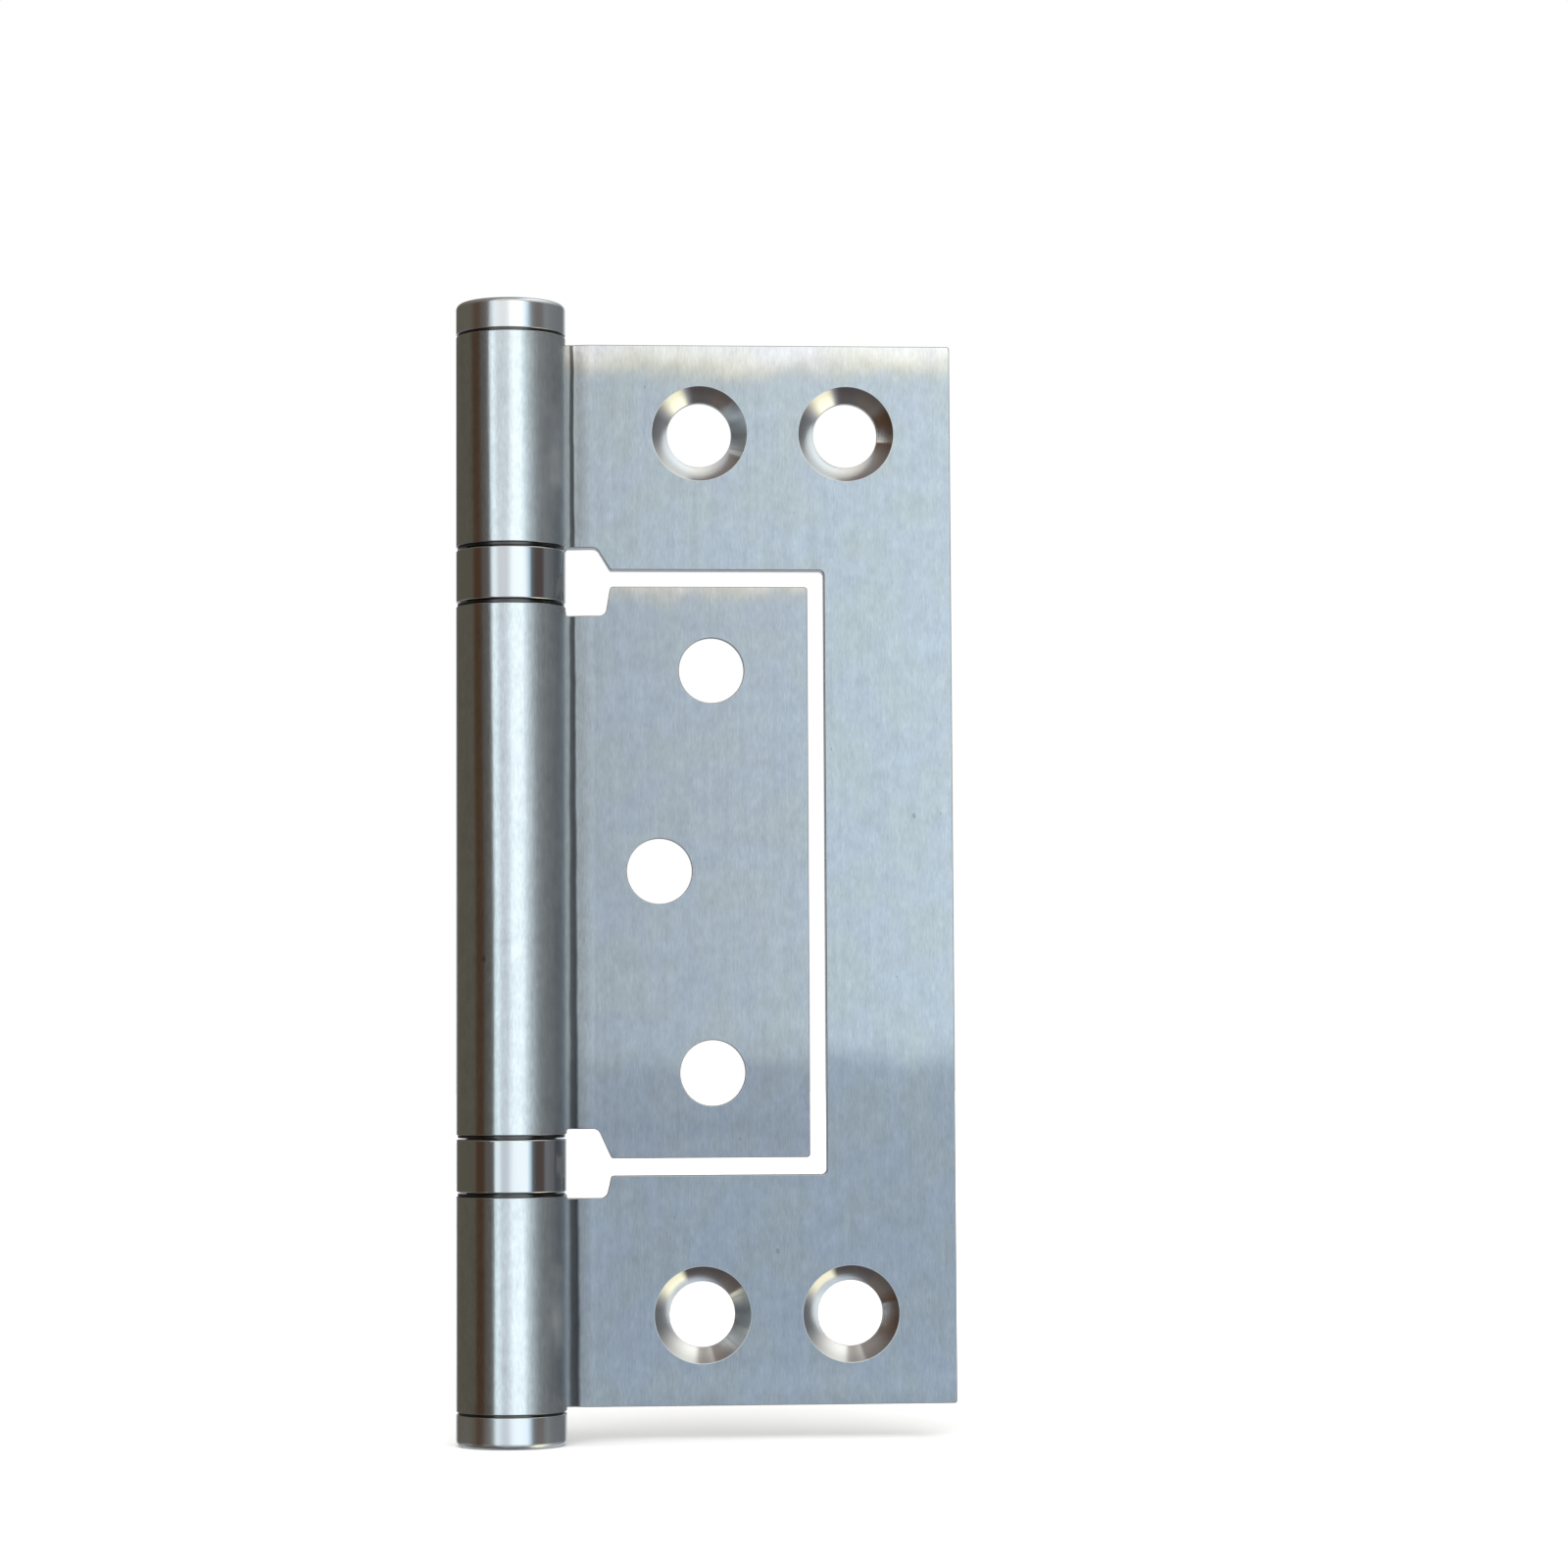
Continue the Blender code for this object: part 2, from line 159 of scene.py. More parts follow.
class Wiring:
    """Adds nodes to a node tree and joins them."""

    noise_roughness = 0.55

    def __init__(self, tree: bpy.types.NodeTree) -> None:
        """Start from an empty tree."""
        self.tree = tree
        tree.nodes.clear()

    def add(self, kind: str, inputs: dict | None = None, **settings: object) -> bpy.types.Node:
        """Add one node.

        Args:
            kind: The node's type name.
            inputs: Values or sockets, by the input's name or number.
            settings: Properties of the node itself.

        Returns:
            The new node.
        """
        node = self.tree.nodes.new(kind)
        for name, value in settings.items():
            setattr(node, name, value)
        for socket, value in (inputs or {}).items():
            if isinstance(value, Socket):
                self.tree.links.new(value, node.inputs[socket])
            else:
                node.inputs[socket].default_value = value
        return node

    def math(self, operation: str, *values: object) -> Socket:
        """Add one Math node and return its result."""
        return self.add("ShaderNodeMath", dict(enumerate(values)), operation=operation).outputs[0]

    def product(self, first: object, *others: object) -> Socket:
        """Multiply values together.

        Args:
            first: The first value.
            others: What it is multiplied by, in turn.

        Returns:
            The product.
        """
        for value in others:
            first = self.math("MULTIPLY", first, value)
        return first

    def scaled(self, value: object, gain: object, start: object = 0.0) -> Socket:
        """Multiply a value by a gain and add a start."""
        return self.math("MULTIPLY_ADD", value, gain, start)

    def vector(self, x: object = 0.0, y: object = 0.0, z: object = 0.0) -> Socket:
        """Join three numbers into a vector."""
        return self.add("ShaderNodeCombineXYZ", {0: x, 1: y, 2: z}).outputs[0]

    def parts(self, vector: object) -> tuple[Socket, ...]:
        """Split a vector into its three numbers."""
        return tuple(self.add("ShaderNodeSeparateXYZ", {0: vector}).outputs)

    def vector_math(self, operation: str, *vectors: object) -> bpy.types.Node:
        """Add one Vector Math node."""
        return self.add("ShaderNodeVectorMath", dict(enumerate(vectors)), operation=operation)

    def place(self) -> Socket:
        """The point's place in the frame."""
        return self.add("ShaderNodeTexCoord").outputs["Object"]

    def spread(self, value: object, low: tuple, high: tuple, smooth: bool = True) -> Socket:
        """Map a value from one range to another, held at both ends.

        Args:
            value: The socket to map.
            low: The low end, as (value, result).
            high: The high end, as (value, result).
            smooth: Whether the change eases in and out.

        Returns:
            The mapped value.
        """
        node = self.add(
            "ShaderNodeMapRange",
            {"Value": value, "From Min": low[0], "From Max": high[0], "To Min": low[1], "To Max": high[1]},
            interpolation_type="SMOOTHSTEP" if smooth else "LINEAR",
        )
        return node.outputs["Result"]

    def rise(self, value: object, limits: Pair) -> Socket:
        """Ease from 0 to 1 between two limits."""
        return self.spread(value, (limits[0], 0.0), (limits[1], 1.0))

    def drop(self, value: object, limits: Pair) -> Socket:
        """Ease from 1 to 0 between two limits."""
        return self.spread(value, (limits[0], 1.0), (limits[1], 0.0))

    def ramp(self, value: object, stops: list[tuple[float, Colour]]) -> Socket:
        """Look a value up in a row of colours.

        Args:
            value: The socket to look up, from 0 to 1.
            stops: (place, colour), in order.

        Returns:
            The colour.
        """
        node = self.add("ShaderNodeValToRGB", {"Fac": value})
        elements = node.color_ramp.elements
        elements.remove(elements[1])
        for number, (place, colour) in enumerate(stops):
            element = elements[0] if number == 0 else elements.new(place)
            element.position = place
            element.color = (*colour, 1.0)
        return node.outputs["Color"]

    def grain(self, vector: object, layer: Grain, shift: float = 0.0) -> Socket:
        """Read one layer of noise.

        Args:
            vector: Where to read it.
            layer: The layer.
            shift: Moves the finish's layers, so that no two finishes share a pattern.

        Returns:
            The noise with its gain and start.
        """
        move = layer.place + shift
        placing = {"Vector": vector, "Location": (move, 2 * move, 3 * move), "Scale": layer.cells}
        placed = self.add("ShaderNodeMapping", placing).outputs[0]
        settings = {"Scale": 1.0, "Detail": layer.detail, "Roughness": self.noise_roughness}
        noise = self.add("ShaderNodeTexNoise", {"Vector": placed, **settings}).outputs[0]
        if (layer.gain, layer.start) == (1.0, 0.0):
            return noise
        return self.scaled(noise, layer.gain, layer.start)

    def blend(self, amount: object, first: object, second: object, kind: str = "MIX") -> Socket:
        """Mix two colours.

        Args:
            amount: How much of the second colour.
            first: The first colour.
            second: The second colour.
            kind: The way of mixing.

        Returns:
            The mixed colour.
        """
        colours = [(*part, 1.0) if isinstance(part, tuple) else part for part in (first, second)]
        inputs = {0: amount, 6: colours[0], 7: colours[1]}
        return self.add("ShaderNodeMix", inputs, data_type="RGBA", blend_type=kind).outputs[2]

    def bump(self, height: object, strength: float, distance: float, **under: object) -> Socket:
        """Raise the surface by a height.

        Args:
            height: The height.
            strength: How much of the new normal is used.
            distance: What a height of 1 stands for.
            under: The normal below it, as Normal, where there is one.

        Returns:
            The new normal.
        """
        inputs = {"Height": height, "Strength": strength, "Distance": distance, **under}
        return self.add("ShaderNodeBump", inputs).outputs[0]

    def shade(self, inputs: dict) -> None:
        """End a material with its surface shader."""
        shader = self.add("ShaderNodeBsdfPrincipled", inputs)
        self.add("ShaderNodeOutputMaterial", {"Surface": shader.outputs[0]})


def new_material(name: str) -> tuple[Material, Wiring]:
    """Start a material.

    Args:
        name: Its name.

    Returns:
        The empty material and the wiring of its nodes.
    """
    material = bpy.data.materials.new(name)
    material.use_nodes = True
    return material, Wiring(material.node_tree)


def darker(tint: Colour, share: float) -> Colour:
    """A tint with a share of its brightness."""
    return tuple(share * part for part in tint)


@dataclass(frozen=True)
class RolledSteel:
    """Stainless sheet brushed along the pin: short lines, clouds and a crease with painted shade.

    The pattern reads the blank's own flat coordinates, kept as the UV map "blank", so
    the brush lines follow the sheet round the pin. The barrel is smoother than the
    flats. Painted shade darkens the crease beside the barrel. Painted light brightens the
    flats towards the free edge, but not their lower third. The press left the lower third
    of the flats with a slight nod.
    """

    name: str
    barrel_tint: Colour
    flat_tint: Colour
    cloud_tint: Colour
    shift: float
    half_height: float
    fine: Grain = Grain((4800.0, 900.0, 1.0), 0.0, 0.41, 0.795, detail=4.0)
    broad: Grain = Grain((1500.0, 60.0, 1.0), 5.0, 0.21, 0.895)
    mottle: Grain = Grain((620.0, 420.0, 1.0), 15.0, 0.32, 0.84)
    hair: Grain = Grain((3400.0, 30.0, 1.0), 23.0, detail=0.0)
    hair_light: Limits = ((0.82, 0.0), (0.88, 0.07))
    speck: Grain = Grain((900.0, 520.0, 1.0), 47.0, detail=0.0)
    speck_loss: Limits = ((0.875, 0.0), (0.90, 0.30))
    cloud: Grain = Grain((170.0, 120.0, 1.0), 11.0, detail=4.0)
    cloud_edges: Pair = (0.38, 0.62)
    drift: Grain = Grain((60.0, 40.0, 1.0), 83.0, 0.006, -0.003)
    wave: Grain = Grain((120.0, 42.0, 1.0), 31.0, 0.00010, detail=1.0)
    lines: Grain = Grain((4200.0, 120.0, 1.0), 71.0)
    line_depth: float = 0.000004
    barrel_end: Pair = (-0.002, 0.005)
    flat_roughness: float = 0.22
    cloud_roughness: float = 0.06
    barrel_roughness: float = 0.10
    end_roughness: float = 0.25
    end_of_curl: Pair = (-0.0184, -0.0170)
    anisotropy: float = 1.0
    # Painted light: the flats' tone rises by up to this share towards the free edge, but not in the lower
    # third that lower bounds.
    free_edge_painted_light: Pair = (0.053, 0.26)
    lower: Pair = (-0.0248, -0.0178)
    lower_slope: float = 0.070
    nod_starts: Pair = (0.0045, 0.0072)
    # The crease fields place and shape a band of painted shade beside the barrel.
    crease: Grain = Grain((1.0, 160.0, 1.0), 61.0, 0.0003, 0.00727)
    crease_lean: float = -0.0015
    crease_half_width: Pair = (0.00030, -0.0022)
    crease_near: Limits = ((-2.2, 0.50), (-0.8, 0.84))
    crease_far: Pair = (0.6, 1.9)
    crease_front: float = 0.0050
    swage_tint: Pair = (0.0071, 0.0104)
    die_roll: float = 0.0050
    die_roll_slope: float = 0.050
    bow: float = 0.9
    waves_start: Pair = (0.0, 0.008)

    def light_after_painted_crease_shade(self, wires: Wiring, blank: Socket, across: Socket, up: Socket) -> Socket:
        """How much light the painted shade in the crease beside the barrel leaves, on the front only.

        Args:
            wires: The material's wiring.
            blank: The flat coordinates.
            across: The flat distance from the pin's line.
            up: The height from the middle.

        Returns:
            The share of light, from 0 to 1.
        """
        line = wires.scaled(up, self.crease_lean, wires.grain(blank, self.crease, self.shift))
        half_width = wires.scaled(up, self.crease_half_width[1], self.crease_half_width[0])
        off = wires.math("DIVIDE", wires.math("SUBTRACT", across, line), half_width)
        depth = wires.parts(wires.place())[1]
        # Painted shade: a dark band along the crease beside the barrel, on the front face only.
        dark = wires.product(
            wires.spread(off, *self.crease_near),
            wires.drop(off, self.crease_far),
            wires.math("LESS_THAN", depth, self.crease_front),
            wires.math("GREATER_THAN", across, 0.0),
        )
        return wires.math("SUBTRACT", 1.0, dark)

    def tones(self, wires: Wiring, blank: Socket, across: Socket, up: Socket) -> Socket:
        """Brightness of the sheet: brush lines, broad streaks, specks, the crease's painted shade and
        painted light towards the free edge.

        Args:
            wires: The material's wiring.
            blank: The flat coordinates.
            across: The flat distance from the pin's line.
            up: The height from the middle.

        Returns:
            The brightness, about 1.
        """
        layers = (self.fine, self.broad, self.mottle)
        tone = wires.product(*(wires.grain(blank, layer, self.shift) for layer in layers))
        hair = wires.spread(wires.grain(blank, self.hair, self.shift), *self.hair_light)
        speck = wires.spread(wires.grain(blank, self.speck, self.shift), *self.speck_loss)
        tone = wires.math("SUBTRACT", wires.math("ADD", tone, hair), speck)
        # Painted light: brighter towards the free edge, and none of it in the lower third.
        gain = wires.spread(across, (SIZES.swage_far, 0.0), self.free_edge_painted_light, smooth=False)
        gain = wires.scaled(gain, wires.rise(up, self.lower), 1.0)
        return wires.product(tone, self.light_after_painted_crease_shade(wires, blank, across, up), gain)

    def facing(self, wires: Wiring, across: Socket, up: Socket) -> Socket:
        """Normal of the sheet with the nod of its lower third.

        Args:
            wires: The material's wiring.
            across: The flat distance from the pin's line.
            up: The height from the middle.

        Returns:
            The normal.
        """
        nod = wires.spread(up, (self.lower[0], -self.lower_slope), (self.lower[1], 0.0))
        nod = wires.product(nod, wires.rise(across, self.nod_starts))
        normal = wires.add("ShaderNodeNewGeometry").outputs["Normal"]
        nodding = wires.vector_math("ADD", normal, wires.vector(z=nod))
        return wires.vector_math("NORMALIZE", nodding.outputs[0]).outputs[0]

    def form(self, wires: Wiring, blank: Socket, across: Socket, up: Socket) -> Socket:
        """Normal of the sheet: a slight bow, soft waves, rolled-over ends and brush lines.

        Args:
            wires: The material's wiring.
            blank: The flat coordinates.
            across: The flat distance from the pin's line.
            up: The height from the middle.

        Returns:
            The normal.
        """
        past = wires.math("SUBTRACT", wires.math("ABSOLUTE", up), self.half_height - self.die_roll)
        past = wires.math("MAXIMUM", past, 0.0)
        rolled_over = wires.product(past, past, self.die_roll_slope / (2 * self.die_roll))
        run = wires.math("MAXIMUM", wires.math("SUBTRACT", across, SIZES.swage_far), 0.0)
        bowed = wires.product(run, run, self.bow / 2)
        height = wires.math("SUBTRACT", wires.grain(blank, self.wave, self.shift), rolled_over)
        height = wires.product(wires.math("SUBTRACT", height, bowed), wires.rise(across, self.waves_start))
        soft = wires.bump(height, 1.0, 1.0, Normal=self.facing(wires, across, up))
        return wires.bump(wires.grain(blank, self.lines, self.shift), 1.0, self.line_depth, Normal=soft)

    def material(self) -> Material:
        """Build the finish.

        Returns:
            The material.
        """
        material, wires = new_material(self.name)
        blank = wires.add("ShaderNodeUVMap", uv_map="blank").outputs[0]
        across, level, _ = wires.parts(blank)
        cloud = wires.grain(blank, self.cloud, self.shift)
        up = wires.math("ADD", level, wires.grain(blank, self.drift, self.shift))
        flat = wires.blend(wires.rise(cloud, self.cloud_edges), self.flat_tint, self.cloud_tint)
        base = wires.blend(wires.rise(across, self.swage_tint), self.barrel_tint, flat)
        base = wires.blend(1.0, base, self.tones(wires, blank, across, up), "MULTIPLY")
        near_end, past_end = self.end_of_curl
        barrel = wires.spread(across, (near_end, self.end_roughness), (past_end, self.barrel_roughness))
        start = self.flat_roughness - self.barrel_roughness - self.cloud_roughness / 2
        rougher = wires.scaled(cloud, self.cloud_roughness, start)
        tangent = wires.add("ShaderNodeTangent", direction_type="UV_MAP", uv_map="blank")
        wires.shade(
            {
                "Base Color": base, "Metallic": 1.0,
                "Roughness": wires.scaled(rougher, wires.rise(across, self.barrel_end), barrel),
                "Normal": self.form(wires, blank, across, up),
                "Anisotropic": self.anisotropy, "Tangent": tangent.outputs[0],
            }
        )
        return material


@dataclass(frozen=True)
class ShearedSteel:
    """The sheared edge of the sheet: duller than the faces, with fine upright tears."""

    name: str = "sheared_edge"
    tint: Colour = (0.50, 0.51, 0.52)
    shade: float = 0.8
    roughness: float = 0.34
    uneven: float = 0.22
    tears: Grain = Grain((2600.0, 420.0, 2600.0), 3.0)
    tear_depth: float = 0.00002
    tear_strength: float = 0.4

    def material(self) -> Material:
        """Build the finish.

        Returns:
            The material.
        """
        material, wires = new_material(self.name)
        tears = wires.grain(wires.place(), self.tears)
        wires.shade(
            {
                "Base Color": wires.blend(tears, darker(self.tint, self.shade), self.tint), "Metallic": 1.0,
                "Roughness": wires.scaled(tears, self.uneven, self.roughness - self.uneven / 2),
                "Normal": wires.bump(tears, self.tear_strength, self.tear_depth),
            }
        )
        return material


@dataclass(frozen=True)
class SunkSteel:
    """The bright cut of a countersink: tool rings round the screw hole's own axis.

    The rings, and the painted shade that darkens the outer rim, read the attribute "from_axis", each point's
    distance from that axis.
    """

    name: str = "countersink_cut"
    tint: Colour = (0.78, 0.78, 0.78)
    # Painted shade: the cut darkens towards its outer rim, between these radii.
    rim_painted_shade_tint: Colour = (0.58, 0.58, 0.58)
    rim: Pair = (0.0043, 0.0056)
    ragged: float = 0.0004
    roughness: float = 0.11
    uneven: float = 0.12
    spot: Grain = Grain((180.0, 180.0, 180.0), 7.0, 0.00004, detail=1.0)
    rings: Grain = Grain((9000.0, 9000.0, 1.0), 1.0)
    ring_depth: float = 0.000006
    ring_strength: float = 0.3

    def material(self) -> Material:
        """Build the finish.

        Returns:
            The material.
        """
        material, wires = new_material(self.name)
        from_axis = wires.add("ShaderNodeAttribute", attribute_name="from_axis").outputs["Fac"]
        reading = wires.vector(from_axis, wires.grain(wires.place(), self.spot))
        rings = wires.grain(reading, self.rings)
        ragged = wires.scaled(rings, self.ragged, wires.math("SUBTRACT", from_axis, self.ragged / 2))
        # Painted shade: the base colour darkens towards the outer rim of the sink.
        wires.shade(
            {
                "Base Color": wires.blend(wires.rise(ragged, self.rim), self.tint, self.rim_painted_shade_tint),
                "Metallic": 1.0,
                "Roughness": wires.scaled(rings, self.uneven, self.roughness - self.uneven / 2),
                "Normal": wires.bump(rings, self.ring_strength, self.ring_depth),
            }
        )
        return material


@dataclass(frozen=True)
class TurnedSteel:
    """Turned or ground steel: rings round the pin's axis, read from the place in the frame."""

    name: str
    tint: Colour
    roughness: float
    ring_depth: float = 0.000004
    uneven: float = 0.06
    wave: float = 0.0
    stretch: float = 0.0
    shade: float = 0.92
    rings: Grain = Grain((7000.0, 7000.0, 1.0), 2.0)
    ring_strength: float = 0.3
    cloud: Grain = Grain((260.0, 260.0, 110.0), 9.0, detail=2.0)
    wave_strength: float = 0.5
    mark: Grain = Grain((1500.0, 1500.0, 90.0), 17.0)
    quarter_turn: float = 0.25

    def material(self) -> Material:
        """Build the finish.

        Returns:
            The material.
        """
        material, wires = new_material(self.name)
        place = wires.place()
        x, y, z = wires.parts(place)
        from_axis = wires.vector_math("LENGTH", wires.vector(x, y)).outputs["Value"]
        rings = wires.grain(wires.vector(from_axis, z), self.rings)
        cloud = wires.grain(place, self.cloud)
        mark = wires.grain(place, self.mark)
        fine = wires.bump(rings, self.ring_strength, self.ring_depth)
        tangent = wires.add("ShaderNodeTangent", direction_type="RADIAL", axis="Z")
        wires.shade(
            {
                "Base Color": wires.blend(mark, darker(self.tint, self.shade), self.tint), "Metallic": 1.0,
                "Roughness": wires.scaled(cloud, self.uneven, self.roughness - self.uneven / 2),
                "Normal": wires.bump(cloud, self.wave_strength, self.wave, Normal=fine),
                "Anisotropic": self.stretch, "Anisotropic Rotation": self.quarter_turn,
                "Tangent": tangent.outputs[0],
            }
        )
        return material


def filleted(corners: list[Corner], steps: int, closed: bool) -> list[Pair]:
    """Round the corners of a path.

    Args:
        corners: (x, y, radius) for each corner.
        steps: How many pieces each fillet has.
        closed: Whether the path's end joins its start.

    Returns:
        The points of the path, in order.
    """
    points: list[Pair] = []
    last = len(corners) - 1
    for index, (x, y, radius) in enumerate(corners):
        if radius == 0 or (not closed and index in (0, last)):
            points.append((x, y))
            continue
        before, after = corners[index - 1], corners[(index + 1) % len(corners)]
        back, on = (before[0] - x, before[1] - y), (after[0] - x, after[1] - y)
        first, second = math.atan2(back[1], back[0]), math.atan2(on[1], on[0])
        half_turn = abs((second - first + math.pi) % math.tau - math.pi) / 2
        room = min(math.hypot(*back), math.hypot(*on)) * FILLET_ROOM
        radius = min(radius, room * math.tan(half_turn))
        middle = math.atan2(math.sin(first) + math.sin(second), math.cos(first) + math.cos(second))
        away = radius / math.sin(half_turn)
        centre = (x + away * math.cos(middle), y + away * math.sin(middle))
        sweep = math.copysign(math.pi / 2 - half_turn, math.sin(second - first))
        for step in range(steps + 1):
            angle = middle + math.pi + sweep * (1 - 2 * step / steps)
            points.append((centre[0] + radius * math.cos(angle), centre[1] + radius * math.sin(angle)))
    return points


def inset(points: list[Pair], distance: float) -> list[Pair]:
    """Move a closed outline inwards, with mitred corners.

    Args:
        points: The outline, in order.
        distance: How far it moves.

    Returns:
        The moved points.
    """
    sides = list(zip(points, points[1:] + points[:1]))
    inward = math.copysign(1.0, sum(a[0] * b[1] - b[0] * a[1] for a, b in sides))
    normals = []
    for a, b in sides:
        length = math.hypot(b[0] - a[0], b[1] - a[1])
        normals.append((-(b[1] - a[1]) / length * inward, (b[0] - a[0]) / length * inward))
    moved = []
    for index, (x, y) in enumerate(points):
        (ax, ay), (bx, by) = normals[index - 1], normals[index]
        share = distance / (1 + ax * bx + ay * by)
        moved.append((x + (ax + bx) * share, y + (ay + by) * share))
    return moved


def cut_at(points: list[Pair], stations: list[float]) -> list[Pair]:
    """Add a point wherever a closed outline crosses one of the given x.

    Args:
        points: The outline, in order.
        stations: The x of each crossing line.

    Returns:
        The outline with the new points in it.
    """
    result = []
    for (ax, ay), (bx, by) in zip(points, points[1:] + points[:1]):
        result.append((ax, ay))
        low, high = min(ax, bx) + TOLERANCE, max(ax, bx) - TOLERANCE
        for x in sorted((s for s in stations if low < s < high), reverse=ax > bx):
            result.append((x, ay + (by - ay) * (x - ax) / (bx - ax)))
    return result


def linked(mesh: bpy.types.Mesh, name: str) -> bpy.types.Object:
    """Put a mesh in the scene, at the origin.

    Args:
        mesh: The mesh, in the frame.
        name: The object's name.

    Returns:
        The new object.
    """
    piece = bpy.data.objects.new(name, mesh)
    bpy.context.scene.collection.objects.link(piece)
    return piece


def settled(piece: bpy.types.Object, name: str) -> bpy.types.Mesh:
    """Apply an object's modifiers and remove the object.

    Args:
        piece: The object, which is in the scene.
        name: The plain mesh's name.

    Returns:
        The plain mesh.
    """
    graph = bpy.context.evaluated_depsgraph_get()
    mesh = bpy.data.meshes.new_from_object(piece.evaluated_get(graph))
    bpy.data.objects.remove(piece)
    mesh.name = name
    return mesh


def smoothed(mesh: bpy.types.Mesh, name: str) -> bpy.types.Object:
    """Shade a mesh smooth, with its large flats held flat.

    Args:
        mesh: The finished shape, in the frame.
        name: The piece's name.

    Returns:
        The piece, in the scene with nothing left to evaluate.
    """
    mesh.shade_smooth()
    mesh.set_sharp_from_angle(angle=SHARP_ANGLE)
    piece = linked(mesh, name)
    weighted = piece.modifiers.new("Flat faces stay flat", "WEIGHTED_NORMAL")
    weighted.keep_sharp = True
    weighted.weight = FLAT_WEIGHT
    return linked(settled(piece, name), name)


def hand_over(piece: bpy.types.Object, body: str, slot: str, *nodes: str) -> None:
    """Give a finished piece its body, and hide the CAD nodes that it stands for.

    Args:
        piece: The finished piece.
        body: The CAD body that it moves with.
        slot: The name of its material slot; not used.
        nodes: The CAD nodes that it stands for.
    """
    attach(piece, body)
    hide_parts(*nodes)
    log.info("%s: %d faces, rides on %s", piece.name, len(piece.data.polygons), body)


@dataclass(frozen=True)
class ScrewHole:
    """One countersunk screw hole of a leaf."""

    x: float
    height: float
    opens_at: Face
    radius: float = 0.0039
    sink: float = 0.00575
    sink_depth: float = 0.00157
    lip: float = 0.00012
    lip_steps: int = 4
    steps: int = 96

    def wall(self, sheet: float) -> list[tuple[float, float, Cut]]:
        """The hole's section from the front face to the back face.

        Args:
            sheet: The leaf's thickness.

        Returns:
            (radius, depth, how the wall is cut up to the next point).
        """
        run_out = 4 * self.lip
        corners = [
            (self.sink + run_out, 0.0, 0.0),
            (self.sink, 0.0, self.lip),
            (self.radius, self.sink_depth, self.lip),
            (self.radius, sheet, self.lip),
            (self.radius + run_out, sheet, 0.0),
        ]
        path = filleted(corners, self.lip_steps, closed=False)[1:-1]
        cone_end = 1 + 2 * self.lip_steps - self.lip_steps // 2
        cuts = [Cut.SUNK if index < cone_end else Cut.SHEARED for index in range(len(path))]
        if self.opens_at is Face.FRONT:
            return [(radius, level, cut) for (radius, level), cut in zip(path, cuts)]
        cuts = cuts[-2::-1] + [Cut.SUNK]
        return [(radius, sheet - level, cut) for (radius, level), cut in zip(reversed(path), cuts)]


